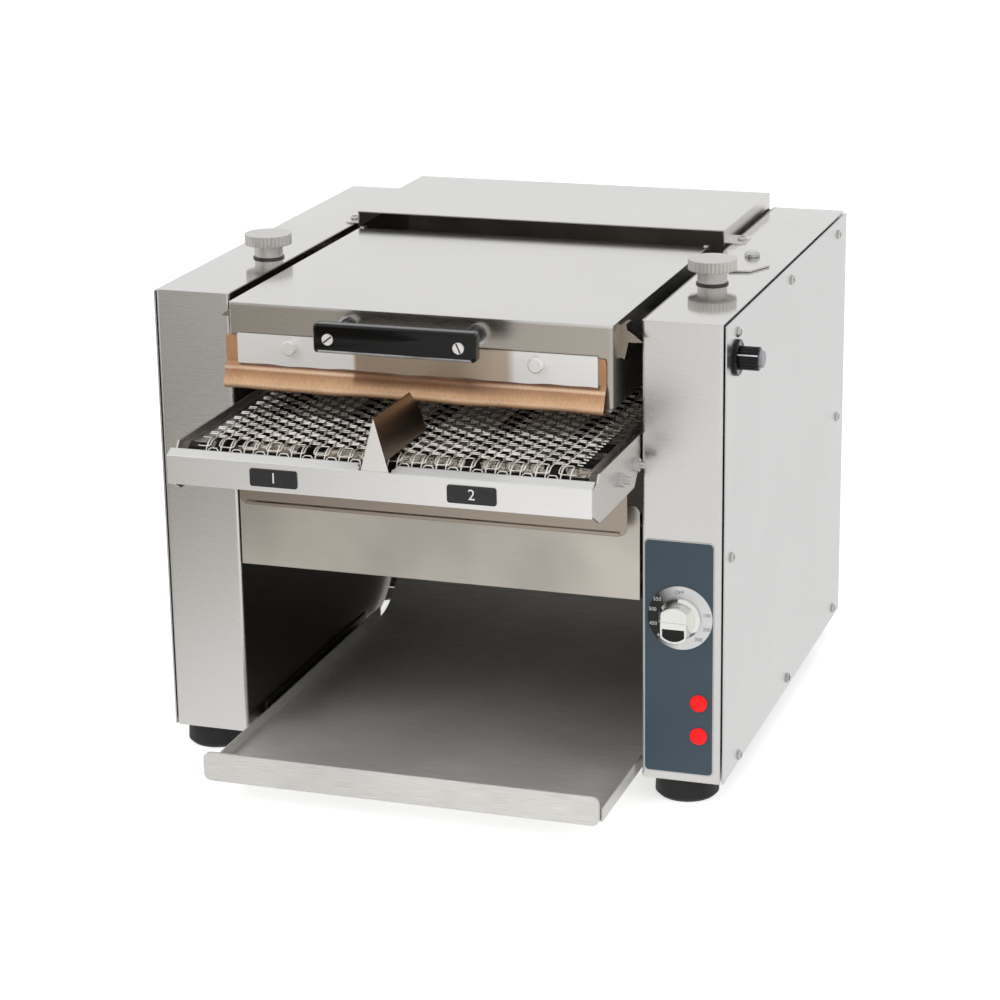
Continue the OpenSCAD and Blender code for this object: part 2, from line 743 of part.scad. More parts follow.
module chain_sprocket(z) along_x(drive_x, drive_x + chain_w)
    translate([drive_y, z]) toothed(chain_r - seat, 14, 2.6);

module driven_sprocket() color("dimgray") difference() {
    union() {
        chain_sprocket(nose_z);
        rod_x(9, drive_x - 8, drive_x, drive_y, nose_z);
    }
    rod_x(shaft_d / 2 + run_clear, drive_x - 10, drive_x + chain_w + 1, drive_y, nose_z);
}

gear_t = 15;
gear_l = 62;
gear_h = 56;
gear_front = drive_y - 0.55 * gear_l;
motor_l = 76;
motor_r = 21;
motor_x = wall_x + sheet_t + motor_r + 1;

module motor_sprocket() color("dimgray") {
    chain_sprocket(motor_z);
    rod_x(shaft_d / 2, wall_x + sheet_t + gear_t - 10, drive_x + chain_w + 4, drive_y, motor_z);
}

// Gearbox on the inner wall with its motor lying forward of it
module gear_motor() color("slategray") difference() {
    union() {
        along_x(wall_x + sheet_t, wall_x + sheet_t + gear_t)
            translate([gear_front, motor_z - gear_h / 2]) round_rect(gear_l, gear_h, 6);
        rod_y(motor_r, gear_front - motor_l, gear_front, motor_x, motor_z);
        rod_y(motor_r * 2 / 3, gear_front, gear_front + 8, motor_x, motor_z);
        rod_y(motor_r * 0.3, gear_front - motor_l - 4, gear_front - motor_l, motor_x, motor_z);
    }
    rod_x(shaft_d / 2 + run_clear, wall_x + sheet_t + gear_t - 11, wall_x + gear_l, drive_y, motor_z);
}

module chain_ring(r) {
    for (z = [motor_z, nose_z]) translate([drive_y, z]) circle(r);
    translate([drive_y - r, motor_z]) square([2 * r, nose_z - motor_z]);
}

module drive_chain() color("gray") along_x(drive_x, drive_x + chain_w) difference() {
    chain_ring(chain_r + chain_t);
    chain_ring(chain_r);
}

// Tray

module tray_rails() color("silver") both_sides() along_y(rail_front, rail_back)
    translate([0, -sheet_t - seat]) polygon([
        [wall_x - 22, -sheet_t], [wall_x, -sheet_t], [wall_x, tray_flange + 4],
        [wall_x - sheet_t, tray_flange + 4], [wall_x - sheet_t, 0], [wall_x - 22, 0]
    ]);

module discharge_tray() color("silver") {
    along_x(-tray_x, tray_x) {
        translate([tray_start, -sheet_t]) square([tray_curl_y - tray_start, sheet_t]);
        translate([tray_curl_y, tray_curl]) intersection() {
            difference() {
                circle(tray_curl + sheet_t, $fn = 96);
                circle(tray_curl, $fn = 96);
            }
            translate([0, -2 * tray_curl]) square(2 * tray_curl);
        }
    }
    both_sides() span([tray_x - sheet_t, tray_start, -sheet_t], [tray_x, tray_curl_y, tray_flange]);
    span([tray_corner - tray_x, -tray_reach, -sheet_t], [tray_x - tray_corner, tray_start, 0]);
    along_y(-tray_reach, -tray_reach + 2 * sheet_t) translate([-tray_x, -sheet_t])
        round_rect(2 * tray_x, tray_lip_h + sheet_t, tray_corner);
}

// Platen

ear_r = 11;
ear_rise = 1;

module platen_cover() color("gainsboro") difference() {
    union() {
        difference() {
            translate([-platen_x, platen_y, skirt_low]) linear_extrude(platen_top - skirt_low)
                round_rect(2 * platen_x, platen_back - platen_y, bend_r);
            span([-platen_x + sheet_t, platen_y + sheet_t, skirt_low - 1],
                [platen_x - sheet_t, platen_back - sheet_t, platen_top - sheet_t]);
        }
        both_sides() along_x(ear_x - 2 * sheet_t, ear_x + sheet_t) {
            translate([pivot_y, pivot_z]) circle(ear_r);
            translate([platen_back - sheet_t, pivot_z - ear_r])
                square([pivot_y - platen_back + sheet_t, 2 * ear_r]);
            translate([platen_back - sheet_t, pivot_z]) square([8, platen_top + ear_rise - pivot_z]);
        }
    }
    both_sides() {
        rod_x(pivot_r + run_clear, ear_x - 10, ear_x + 10, pivot_y, pivot_z);
        rod_x(support_r + run_clear, platen_x - 5, platen_x + 1, adjust_y, support_z);
    }
    for (x = stud_xs) rod_y(bolt_r + hole_clear, platen_y - 1, platen_y + 3, x, clamp_stud_z);
    for (x = post_xs) rod_y(bolt_r + hole_clear, platen_y - 1, platen_y + 3, x, handle_z);
}

boss_x = cast_x - 30;
boss_ys = [platen_y + 40, platen_back - 40];

module platen_plate() color("lightgray") {
    span([-cast_x, platen_y + sheet_t + cast_gap, plate_z],
        [cast_x, platen_back - sheet_t - cast_gap, plate_z + plate_cast]);
    both_sides() for (y = boss_ys) rod_z(7, plate_z + plate_cast, platen_top - sheet_t, boss_x, y);
}

element_r = 4;
element_bend = 22;
platen_l = platen_back - platen_y;
element_ys = [for (part = [0.26, 0.5, 0.74]) platen_y + part * platen_l];

// Hairpin elements that lie on the heated plate, with their cold ends to the right
module heating_elements() color("saddlebrown") for (y = element_ys)
    translate([0, y, plate_z + plate_cast + element_r]) {
        far = cast_x - 60;
        for (s = [-element_bend, element_bend]) rod_x(element_r, -far, far + 30, s, 0);
        translate([-far, 0, 0]) rotate([0, 0, 90]) rotate_extrude(angle = 180)
            translate([element_bend, 0]) circle(element_r);
    }

sheet_skew = 5;
release_top = clamp_z + 12;
fold_z = release_low + fold_r;

// Side view of the sheet's front: it hangs from the clamp bar, flares forward and rolls under
module release_front() {
    hang = clamp_z - clamp_h / 2;
    roll_y = platen_y - fold_out + fold_r;
    translate([platen_y - release_t, hang]) square([release_t, release_top - hang]);
    polygon([
        [platen_y - release_t, hang], [platen_y, hang],
        [platen_y - fold_out + release_t, fold_z], [platen_y - fold_out, fold_z]
    ]);
    translate([roll_y, fold_z]) intersection() {
        difference() {
            circle(fold_r);
            circle(fold_r - release_t);
        }
        translate([-2 * fold_r, -2 * fold_r]) square(2 * fold_r);
    }
    translate([roll_y, release_low]) square([fold_out, release_t]);
}

// The front stands out at the left; the rest runs back under the plate
module release_sheet() color([0.72, 0.47, 0.3]) difference() {
    union() {
        along_x(-cast_x - sheet_skew, cast_x - sheet_skew / 2) release_front();
        span([2 - cast_x, platen_y, release_low],
            [cast_x - sheet_skew, platen_back - 4, release_low + release_t]);
    }
    for (x = stud_xs) rod_y(bolt_r + hole_clear, platen_y - 5, platen_y + 5, x, clamp_stud_z);
}

module clamp_bar() color("gainsboro") difference() {
    y = platen_y - release_t;
    along_y(y - clamp_t, y) translate([clamp_xs[0], clamp_z - clamp_h / 2])
        round_rect(clamp_xs[1] - clamp_xs[0], clamp_h, 1.5);
    for (x = stud_xs) rod_y(bolt_r + hole_clear, y - 5, y + 5, x, clamp_stud_z);
}

// Thumb studs that press the clamp bar on the sheet
module clamp_studs() color("silver") for (x = stud_xs)
    translate([x, platen_y - release_t - clamp_t, clamp_stud_z]) rotate([90, 0, 0]) rotate_extrude()
        polygon([[0, -9], [bolt_r, -9], [bolt_r, 0], [6.2, 0], [6.2, 4.6], [5.2, 5.6], [0, 5.6]]);

post_r = 6.5;
ferrule_t = 4;

// Moulded bar and posts
module handle() color([0.08, 0.08, 0.08]) difference() {
    union() {
        along_y(handle_y, handle_y + handle_t) translate([handle_mid - handle_l / 2, handle_z - handle_h / 2])
            round_rect(handle_l, handle_h, 3);
        for (x = post_xs) rod_y(post_r, handle_y + handle_t, platen_y - ferrule_t, x, handle_z);
    }
    for (x = post_xs) rod_y(bolt_r + hole_clear, handle_y - 1, platen_y, x, handle_z);
}

module handle_ferrules() color("gainsboro") for (x = post_xs) difference() {
    rod_y(post_r + 2, platen_y - ferrule_t, platen_y, x, handle_z);
    rod_y(bolt_r + hole_clear, platen_y - ferrule_t - 1, platen_y + 1, x, handle_z);
}

module handle_screws() color("silver") for (x = post_xs) {
    rod_y(bolt_r, handle_y, platen_y + sheet_t + 3, x, handle_z);
    rod_y(1.5 * bolt_r, handle_y - 1.6, handle_y, x, handle_z);
}

bracket_y = -10;

// Pointed arms on the platen's sides, in front of the tower faces
module platen_brackets() color("tan") both_sides() {
    along_y(bracket_y, bracket_y + 2) translate([platen_x, platen_top]) polygon([
        [0, -30], [0, -6], [4.2, -3.4], [5, -9], [12, -13.4], [16.8, -17.3], [10.5, -17.8],
        [6, -17.6], [2.9, -31.2]
    ]);
    span([platen_x, bracket_y, platen_top - 30], [platen_x + 1.5, bracket_y + 24, platen_top - 6]);
}

module platen_pins() color("gray") both_sides() {
    rod_x(pivot_r, ear_x - 6, wall_x - seat, pivot_y, pivot_z);
    rod_x(support_r, platen_x - 4, wall_x - 3, adjust_y, support_z);
}

module pivot_brackets() color("silver") both_sides() difference() {
    along_x(platen_x + 3, wall_x) translate([pivot_y - 12, pivot_z - 12]) round_rect(24, 24, 6);
    rod_x(pivot_r + run_clear, platen_x, wall_x + 1, pivot_y, pivot_z);
}

// Height adjusters

module adjuster_bushes() color([0.12, 0.12, 0.12]) both_sides() difference() {
    union() {
        rod_z(bush_r + 1 - hole_clear, tower_h - 9, tower_h, adjust_x, adjust_y);
        rod_z(stem_d / 2 + 1.2, tower_h, tower_h + 1.2, adjust_x, adjust_y);
    }
    rod_z(lead_d / 2 + run_clear, tower_h - 10, tower_h + 2, adjust_x, adjust_y);
}

module screw_brackets() color("silver") both_sides() difference() {
    union() {
        span([wall_x + sheet_t, adjust_y - 16, screw_low],
            [wall_x + sheet_t + 3, adjust_y + 16, screw_low + 22]);
        span([wall_x + sheet_t, adjust_y - 16, screw_low + 4], [adjust_x + 14, adjust_y + 16, screw_low + 8]);
    }
    rod_z(lead_d / 2 + run_clear, screw_low - 1, screw_low + 10, adjust_x, adjust_y);
}

// Knob turned in one piece with its screw; the rim is cut with straight grooves
module adjust_knob() translate([adjust_x, adjust_y, 0]) {
    rod_z(lead_d / 2, screw_low, tower_h + 2, 0, 0);
    rod_z(stem_d / 2, tower_h + 1.4, tower_h + stem_h, 0, 0);
    translate([0, 0, tower_h + stem_h]) linear_extrude(knob_t) toothed(knob_d / 2, knob_grooves, 0.8);
}

module left_adjust_knob() color("silver") mirror([1, 0, 0]) adjust_knob();

module right_adjust_knob() color("silver") adjust_knob();

// Nut block on the screw, with an arm through the wall under the platen's pin
module carriage() difference() {
    union() {
        span([adjust_x - carriage_w / 2, adjust_y - carriage_w / 2, carriage_top - carriage_h],
            [adjust_x + carriage_w / 2, adjust_y + carriage_w / 2, carriage_top]);
        span([platen_x + 2.5, adjust_y - arm_w / 2, carriage_top - arm_h],
            [adjust_x, adjust_y + arm_w / 2, carriage_top]);
    }
    rod_z(lead_d / 2 + run_clear, carriage_top - carriage_h - 1, carriage_top + 1, adjust_x, adjust_y);
}

module left_carriage() color("darkgray") mirror([1, 0, 0]) carriage();

module right_carriage() color("darkgray") carriage();

// Latch plate on the right tower
module swing_latch() color("silver") difference() {
    translate([latch_at[0], latch_at[1], tower_h + seat]) linear_extrude(latch_t)
        polygon([[-27.5, 19], [-14, 29], [11.5, 10], [21.3, -28], [10.5, -52.5], [-6.5, -55]]);
    rod_z(screw_d / 2 + run_clear, tower_h - 1, tower_h + 5, latch_at[0], latch_at[1]);
}

module latch_screw() color("silver") translate([latch_at[0], latch_at[1], tower_h]) rotate_extrude() polygon([
    [0, -8], [screw_d / 2, -8], [screw_d / 2, latch_t + 2 * seat], [6.5, latch_t + 2 * seat],
    [6.5, latch_t + 3], [4.5, latch_t + 5], [0, latch_t + 5]
]);

// Controls

module control_overlay() color([0.28, 0.34, 0.39]) difference() {
    along_y(-overlay_t, 0) translate([overlay_x - overlay_w / 2, overlay_z])
        round_rect(overlay_w, overlay_h, 4);
    rod_y(3.5, -2, 1, control_x, dial_z);
    for (z = lamp_zs) rod_y(lamp_d * 0.36 + hole_clear, -2, 1, lamp_x, z);
}

module dial_ring() color("silver") difference() {
    rod_y(dial_d / 2, -overlay_t - dial_t, -overlay_t, control_x, dial_z);
    rod_y(3.5, -3, 1, control_x, dial_z);
}

// Skirted knob with an upright grip between two flats, its front broken at mid height
module thermostat_knob() color("silver") translate([control_x, -overlay_t - dial_t - seat, dial_z]) {
    grip_r = thermo_d / 2 - 2.5;
    flat_x = thermo_d * 0.31;
    front = thermo_reach - 1;
    rod_y(3, 0, 14, 0, 0);
    rotate([90, 0, 0]) rotate_extrude() polygon([
        [0, 0], [thermo_d / 2, 0], [thermo_d / 2, 2.5], [grip_r, 5.5], [0, 5.5]
    ]);
    intersection() {
        rod_y(grip_r, -front, -5, 0, 0);
        along_x(-flat_x, flat_x) polygon([
            [-5, -grip_r - 1], [-5, grip_r + 1], [2.5 - front, grip_r + 1],
            [-front, 0], [1 - front, -grip_r - 1]
        ]);
    }
}

module thermostat_body() color("tan") difference() {
    union() {
        rod_y(16, sheet_t, 26, control_x, dial_z);
        rod_y(5, 26, 34, control_x, dial_z);
    }
    rod_y(3 + run_clear, 0, 16, control_x, dial_z);
}

module indicator_lamps() color("red") for (z = lamp_zs) translate([lamp_x, -overlay_t, z]) rotate([90, 0, 0])
    rotate_extrude() polygon([
        [0, -18], [lamp_d * 0.36, -18], [lamp_d * 0.36, 0], [lamp_d / 2, 0], [lamp_d / 2, 1.2],
        [lamp_d * 0.36, 2.6], [0, 3.2]
    ]);

module speed_knob() color([0.1, 0.1, 0.1]) translate([body_w / 2, speed_y, speed_z]) rotate([0, 90, 0]) {
    translate([0, 0, -14]) cylinder(r = 3, h = 15);
    rotate_extrude() polygon([
        [0, seat], [speed_d / 2, seat], [speed_d / 2, 2.4], [speed_d / 2 - 4, 4], [speed_d / 2 - 5, 4],
        [speed_d / 2 - 6, speed_reach - 3], [speed_d / 4, speed_reach - 2.4],
        [speed_d / 4 - 0.6, speed_reach], [0, speed_reach]
    ]);
}

module speed_control() color("dimgray") difference() {
    x = shell_x - sheet_t;
    rod_x(12, x - 15, x, speed_y, speed_z);
    rod_x(3 + run_clear, x - 13, x + 1, speed_y, speed_z);
}

terminal_n = 5;
terminal_pitch = 13;
terminal_d = 18;
terminal_h = 22;
terminal_at = [wall_x + sheet_t, panel_flange + 14, gland_z - 18];

module terminal_block() color("ivory") translate(terminal_at) difference() {
    cube([terminal_d, (terminal_n + 0.4) * terminal_pitch, terminal_h]);
    for (k = [0 : terminal_n - 1])
        rod_z(terminal_pitch / 4, terminal_h / 2, terminal_h + 1, terminal_d / 2, (k + 0.7) * terminal_pitch);
}

module cable_gland() color([0.1, 0.1, 0.1]) difference() {
    union() {
        rod_y(8, tower_d - 12, tower_d + 4, control_x, gland_z);
        translate([control_x, tower_d, gland_z]) rotate([-90, 0, 0]) cylinder(r = gland_r, h = 6, $fn = 6);
        translate([control_x, tower_d + 6, gland_z]) rotate([-90, 0, 0])
            cylinder(r1 = gland_r - 2, r2 = gland_r - 4.5, h = gland_out - 6);
        translate([control_x, tower_d - sheet_t - 5, gland_z]) rotate([-90, 0, 0])
            cylinder(r = gland_r, h = 5, $fn = 6);
    }
    rod_y(5, tower_d - 13, tower_d + gland_out + 1, control_x, gland_z);
}

place() left_tower();
place() right_tower();
place() left_side_panel();
place() right_side_panel();
place() casing_screws();
place() rear_cover();
place() rear_panel();
place() rear_chute();
place() apron();
place() belt_guard();
place() feet();
place() left_conveyor_plate();
place() right_conveyor_plate();
place() conveyor_bolts();
place() feed_lip();
place() lane_divider();
place() lane_labels();
place() wire_belt();
place() belt_bed();
place() shaft_bushings();
place() front_shaft();
place() front_rollers();
place() drive_shaft();
place() drive_sprockets();
place() driven_sprocket();
place() motor_sprocket();
place() gear_motor();
place() drive_chain();
place() tray_rails();
place() discharge_tray();
place() platen_cover();
place() platen_plate();
place() heating_elements();
place() release_sheet();
place() clamp_bar();
place() clamp_studs();
place() handle();
place() handle_ferrules();
place() handle_screws();
place() platen_brackets();
place() platen_pins();
place() pivot_brackets();
place() adjuster_bushes();
place() screw_brackets();
place() left_adjust_knob();
place() right_adjust_knob();
place() left_carriage();
place() right_carriage();
place() swing_latch();
place() latch_screw();
place() control_overlay();
place() dial_ring();
place() thermostat_knob();
place() thermostat_body();
place() indicator_lamps();
place() speed_knob();
place() speed_control();
place() terminal_block();
place() cable_gland();
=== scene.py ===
import math

import bpy
from mathutils import Matrix, Vector


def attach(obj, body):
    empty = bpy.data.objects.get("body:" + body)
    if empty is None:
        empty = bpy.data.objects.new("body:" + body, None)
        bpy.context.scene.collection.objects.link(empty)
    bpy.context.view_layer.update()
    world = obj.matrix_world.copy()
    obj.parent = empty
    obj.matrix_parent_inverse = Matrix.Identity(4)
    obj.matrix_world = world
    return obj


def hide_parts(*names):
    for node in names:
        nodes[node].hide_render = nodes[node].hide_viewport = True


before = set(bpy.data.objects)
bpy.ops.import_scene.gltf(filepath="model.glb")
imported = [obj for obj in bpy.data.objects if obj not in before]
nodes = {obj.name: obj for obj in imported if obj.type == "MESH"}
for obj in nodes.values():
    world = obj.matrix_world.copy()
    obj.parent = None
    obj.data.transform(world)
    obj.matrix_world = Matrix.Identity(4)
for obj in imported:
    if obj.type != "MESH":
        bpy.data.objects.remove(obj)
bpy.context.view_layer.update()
print("loaded", len(nodes), "cad nodes")

# place of the machine's own zero (middle, tower fronts, tower bottoms) in the shared frame
machine = {"x": -0.0098, "y": -0.1616, "z": 0.023}

# places that several pieces share, in millimetres from the machine's zero
panelX = 238.5  # outer faces of the side panels
dialAt = {"x": 203.2, "z": 138.5}
handleAt = {"posts": (-55.2, 50.8), "z": 366.5}
lowScrewAt = {"y": 226.9, "z": 8.8}


def at(x, y, z):
    return Vector((x / 1000 + machine["x"], y / 1000 + machine["y"], z / 1000 + machine["z"]))


def clearSelection():
    if bpy.context.object and bpy.context.object.mode != "OBJECT":
        bpy.ops.object.mode_set(mode="OBJECT")
    bpy.ops.object.select_all(action="DESELECT")


def pick(obj):
    clearSelection()
    obj.select_set(True)
    bpy.context.view_layer.objects.active = obj


def settle(obj):
    pick(obj)
    bpy.ops.object.transform_apply(location=True, rotation=True, scale=True)


def copyPiece(source, name):
    copy = bpy.data.objects.new(name, source.data.copy())
    bpy.context.collection.objects.link(copy)
    return copy


def joinPieces(parts, name):
    clearSelection()
    for part in parts:
        part.select_set(True)
    bpy.context.view_layer.objects.active = parts[0]
    if len(parts) > 1:
        bpy.ops.object.join()
    whole = bpy.context.object
    whole.name = name
    return whole


def wear(piece, material, body, angle=30):
    piece.data.materials.clear()
    piece.data.materials.append(material)
    pick(piece)
    bpy.ops.object.shade_smooth_by_angle(angle=math.radians(angle))
    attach(piece, body)


squareOn = 0.9  # a face whose normal reaches this far along an axis looks along it


def chooseFaces(piece, test):
    bpy.ops.object.mode_set(mode="EDIT")
    bpy.ops.mesh.select_mode(type="FACE")
    bpy.ops.mesh.select_all(action="DESELECT")
    bpy.ops.object.mode_set(mode="OBJECT")
    for face in piece.data.polygons:
        face.select = bool(test(face))
    bpy.ops.object.mode_set(mode="EDIT")


# camera, fitted to the photograph's edges
cameraLook = {
    "right": (0.949113, 0.314586, -0.014834),
    "up": (-0.080233, 0.287075, 0.954542),
    "back": (0.304544, -0.904778, 0.297707),
    "place": (752.177, -2071.561, 904.572),
    "focalPixels": 2885.25,
    "picturePixels": 1000,
    "sensor": 36.0,
    "far": 50.0,
}


def addCamera(look):
    camera = bpy.data.cameras.new("photoCamera")
    camera.sensor_width = look["sensor"]
    camera.sensor_fit = "HORIZONTAL"
    camera.lens = look["focalPixels"] / look["picturePixels"] * look["sensor"]
    camera.clip_end = look["far"]
    holder = bpy.data.objects.new("photoCamera", camera)
    bpy.context.collection.objects.link(holder)
    r, u, b, p = look["right"], look["up"], look["back"], at(*look["place"])
    holder.matrix_world = Matrix((
        (r[0], u[0], b[0], p.x), (r[1], u[1], b[1], p.y), (r[2], u[2], b[2], p.z), (0, 0, 0, 1)))
    bpy.context.scene.camera = holder


addCamera(cameraLook)
print("camera placed")


# finishes

def link(tree, a, b):
    tree.links.new(a, b)


def sums(tree, operation, a, b=None):
    node = tree.nodes.new("ShaderNodeMath")
    node.operation = operation
    for k, value in enumerate((a, b)):
        if value is None:
            continue
        if isinstance(value, (int, float)):
            node.inputs[k].default_value = value
        else:
            link(tree, value, node.inputs[k])
    return node.outputs[0]


def grainNoise(tree, coords, scale, detail, stretch=(1, 1, 1)):
    mapping = tree.nodes.new("ShaderNodeMapping")
    mapping.inputs["Scale"].default_value = stretch
    link(tree, coords.outputs["Object"], mapping.inputs["Vector"])
    noise = tree.nodes.new("ShaderNodeTexNoise")
    noise.inputs["Scale"].default_value = scale
    noise.inputs["Detail"].default_value = detail
    link(tree, mapping.outputs["Vector"], noise.inputs["Vector"])
    return noise


def ranged(tree, value, low, high, start=0.3, end=0.7):
    node = tree.nodes.new("ShaderNodeMapRange")
    node.inputs["From Min"].default_value = start
    node.inputs["From Max"].default_value = end
    node.inputs["To Min"].default_value = low
    node.inputs["To Max"].default_value = high
    link(tree, value, node.inputs["Value"])
    return node.outputs["Result"]


def blendColor(tree, factor, a, b, kind="MIX"):
    mix = tree.nodes.new("ShaderNodeMix")
    mix.data_type = "RGBA"
    mix.blend_type = kind
    for name, value in (("Factor", factor), ("A", a), ("B", b)):
        if isinstance(value, (int, float)):
            mix.inputs[name].default_value = value
        elif isinstance(value, tuple):
            mix.inputs[name].default_value = value + (1,)
        else:
            link(tree, value, mix.inputs[name])
    return mix.outputs["Result"]


def facing(tree, axis):
    # how far a face looks along X, Y or Z
    geometry = tree.nodes.new("ShaderNodeNewGeometry")
    parts = tree.nodes.new("ShaderNodeSeparateXYZ")
    link(tree, geometry.outputs["Normal"], parts.inputs[0])
    return parts.outputs[axis]


def along(tree, coords, axis, start=0.0):
    # place on one axis, in millimetres from the machine's zero or from a start
    parts = tree.nodes.new("ShaderNodeSeparateXYZ")
    link(tree, coords.outputs["Object"], parts.inputs[0])
    off = sums(tree, "SUBTRACT", parts.outputs[axis.upper()], machine[axis] + start / 1000)
    return sums(tree, "MULTIPLY", off, 1000.0)


def near(tree, value, middle, inside, outside, most=1.0):
    # most within one distance of the middle, nothing past the other
    off = sums(tree, "ABSOLUTE", sums(tree, "SUBTRACT", value, middle))
    return ranged(tree, off, most, 0.0, inside, outside)


topFacing = (0.7, 0.95)  # a face that looks up this far counts as a flat top


def newFinish(name, look):
    # rough is a low and a high value; scale and stretch shape the fine grain, broadScale the blotches;
    # spread and blotch are how far the two vary the shade; edge is the radius of shaded edges in metres
    material = bpy.data.materials.new(name)
    material.use_nodes = True
    tree = material.node_tree
    shader = tree.nodes["Principled BSDF"]
    shader.inputs["Metallic"].default_value = look.get("metallic", 0.0)
    shader.inputs["IOR"].default_value = look.get("ior", 1.45)
    if "coat" in look:
        shader.inputs["Coat Weight"].default_value = look["coat"]
        shader.inputs["Coat Roughness"].default_value = look.get("coatRough", 0.1)
    if "glow" in look:
        shader.inputs["Emission Color"].default_value = look["color"] + (1,)
        shader.inputs["Emission Strength"].default_value = look["glow"]
    coords = tree.nodes.new("ShaderNodeTexCoord")
    fine = grainNoise(tree, coords, look["scale"], detail=4.0, stretch=look.get("stretch", (1, 1, 1)))
    broad = grainNoise(tree, coords, look.get("broadScale", 9.0), detail=2.0)
    rough = ranged(tree, fine.outputs["Fac"], *look["rough"])
    color = look["color"]
    if "painted" in look:
        color = look["painted"](tree, coords, color)
    if "smoothTop" in look:
        # rolled sheet is smoother on its flat tops than on its folded fronts
        up = ranged(tree, facing(tree, "Z"), 1.0, look["smoothTop"], *topFacing)
        rough = sums(tree, "MULTIPLY", rough, up)
    link(tree, rough, shader.inputs["Roughness"])
    shade = None
    for source, amount in ((fine, look.get("spread", 0.06)), (broad, look.get("blotch", 0.05))):
        level = ranged(tree, source.outputs["Fac"], 0.0, 1.0)
        step = blendColor(tree, level, (1 - amount,) * 3, (1 + amount,) * 3)
        shade = step if shade is None else blendColor(tree, 1.0, shade, step, "MULTIPLY")
    link(tree, blendColor(tree, 1.0, color, shade, "MULTIPLY"), shader.inputs["Base Color"])
    bump = tree.nodes.new("ShaderNodeBump")
    bump.inputs["Strength"].default_value = look.get("bump", 0.05)
    bump.inputs["Distance"].default_value = look.get("bumpHeight", 0.0004)
    link(tree, fine.outputs["Fac"], bump.inputs["Height"])
    if look.get("edge", 0) > 0:
        edge = tree.nodes.new("ShaderNodeBevel")
        edge.samples = 4
        edge.inputs["Radius"].default_value = look["edge"]
        link(tree, edge.outputs["Normal"], bump.inputs["Normal"])
    link(tree, bump.outputs["Normal"], shader.inputs["Normal"])
    return material


# painted shade and reflections, prints and a colour fade: limits in millimetres from the machine's zero

towerShade = {"inner": (173.0, 173.4), "behind": (1.5, 4.0), "color": (0.13, 0.11, 0.09)}


def shadeInside(tree, coords, color):
    # painted shade: the towers' walls towards the belt are darker behind the front fold, where the inside
    # lies in shade
    inner = near(tree, along(tree, coords, "x"), 0.0, *towerShade["inner"])
    behind = ranged(tree, along(tree, coords, "y"), 0.0, 1.0, *towerShade["behind"])
    return blendColor(tree, sums(tree, "MULTIPLY", inner, behind), color, towerShade["color"])


filmPrint = {"x": 202.0, "z": 104.15, "half": (24.0, 93.3), "border": (3.5, 3.8), "color": (0.6, 0.6, 0.59)}


def filmBorder(tree, coords, color):
    # pale edge round the blue-grey print, whose corners are round
    squares = []
    for axis, half in zip("xz", filmPrint["half"]):
        off = sums(tree, "ABSOLUTE", along(tree, coords, axis, filmPrint[axis]))
        past = sums(tree, "MAXIMUM", sums(tree, "SUBTRACT", off, half), 0.0)
        squares.append(sums(tree, "POWER", past, 2.0))
    corner = sums(tree, "SQRT", sums(tree, "ADD", *squares))
    return blendColor(tree, ranged(tree, corner, 0.0, 1.0, *filmPrint["border"]), color, filmPrint["color"])


beltShade = {"behind": (-131.8, -131.2), "below": (276.5, 277.0), "inner": (169.5, 169.9),
             "color": (0.07, 0.06, 0.05)}


def darkBehind(tree, coords, color):
    # painted shade: the lip's and the plates' inner faces under the belt are darkened
    behind = ranged(tree, along(tree, coords, "y"), 0.0, 1.0, *beltShade["behind"])
    below = ranged(tree, along(tree, coords, "z"), 1.0, 0.0, *beltShade["below"])
    inner = near(tree, along(tree, coords, "x"), 0.0, *beltShade["inner"])
    stain = sums(tree, "MULTIPLY", inner, sums(tree, "MULTIPLY", behind, below))
    return blendColor(tree, stain, color, beltShade["color"])


flangeShade = {"above": (280.0, 280.6), "color": (0.76, 0.757, 0.75)}


def lipShade(tree, coords, color):
    # painted shade: the flange over the roller is darker than the face, toning down its bright reflection
    flange = ranged(tree, along(tree, coords, "z"), 0.0, 1.0, *flangeShade["above"])
    return darkBehind(tree, coords, blendColor(tree, flange, color, flangeShade["color"]))


flankShade = {"front": (-0.7, -0.4), "color": (0.3, 0.23, 0.175)}


def shadeFlanks(tree, coords, color):
    # painted shade and reflection by facing: the divider's flanks are painted dark brown for their shade and
    # the brown reflection they show, its front keeps the bright base colour
    front = ranged(tree, facing(tree, "Y"), 1.0, 0.0, *flankShade["front"])
    return blendColor(tree, front, flankShade["color"], color)


coverShade = {"front": (-31.0, -27.0), "below": (376.5, 378.0), "color": (0.47, 0.435, 0.39)}


def warmFront(tree, coords, color):
    # painted shade: the cover's front fold is darker and warmer, standing for the dark reflection it shows
    front = ranged(tree, along(tree, coords, "y"), 1.0, 0.0, *coverShade["front"])
    below = ranged(tree, along(tree, coords, "z"), 1.0, 0.0, *coverShade["below"])
    return blendColor(tree, sums(tree, "MULTIPLY", front, below), color, coverShade["color"])


def belowHandle(tree, x, look):
    # the stretch of the platen's front below the handle, where the handle's painted shadow and reflection go
    left = ranged(tree, x, 0.0, 1.0, *look["left"])
    return sums(tree, "MULTIPLY", left, ranged(tree, x, 1.0, 0.0, *look["right"]))


barHandleShade = {"left": (-53.0, -50.0), "right": (74.0, 81.0), "paler": (35.0, 65.0),
            "colors": ((0.43, 0.335, 0.25), (0.59, 0.48, 0.38))}


def barShade(tree, coords, color):
    # painted reflection and shadow of the handle: the clamp bar is darker and brown below the handle, most at
    # the left
    x = along(tree, coords, "x")
    brownShade = blendColor(tree, ranged(tree, x, 0.0, 1.0, *barHandleShade["paler"]), *barHandleShade["colors"])
    return blendColor(tree, belowHandle(tree, x, barHandleShade), color, brownShade)


ringFade = {"lean": 0.55, "fade": (-8.5, 12.5), "color": (0.022, 0.022, 0.025)}


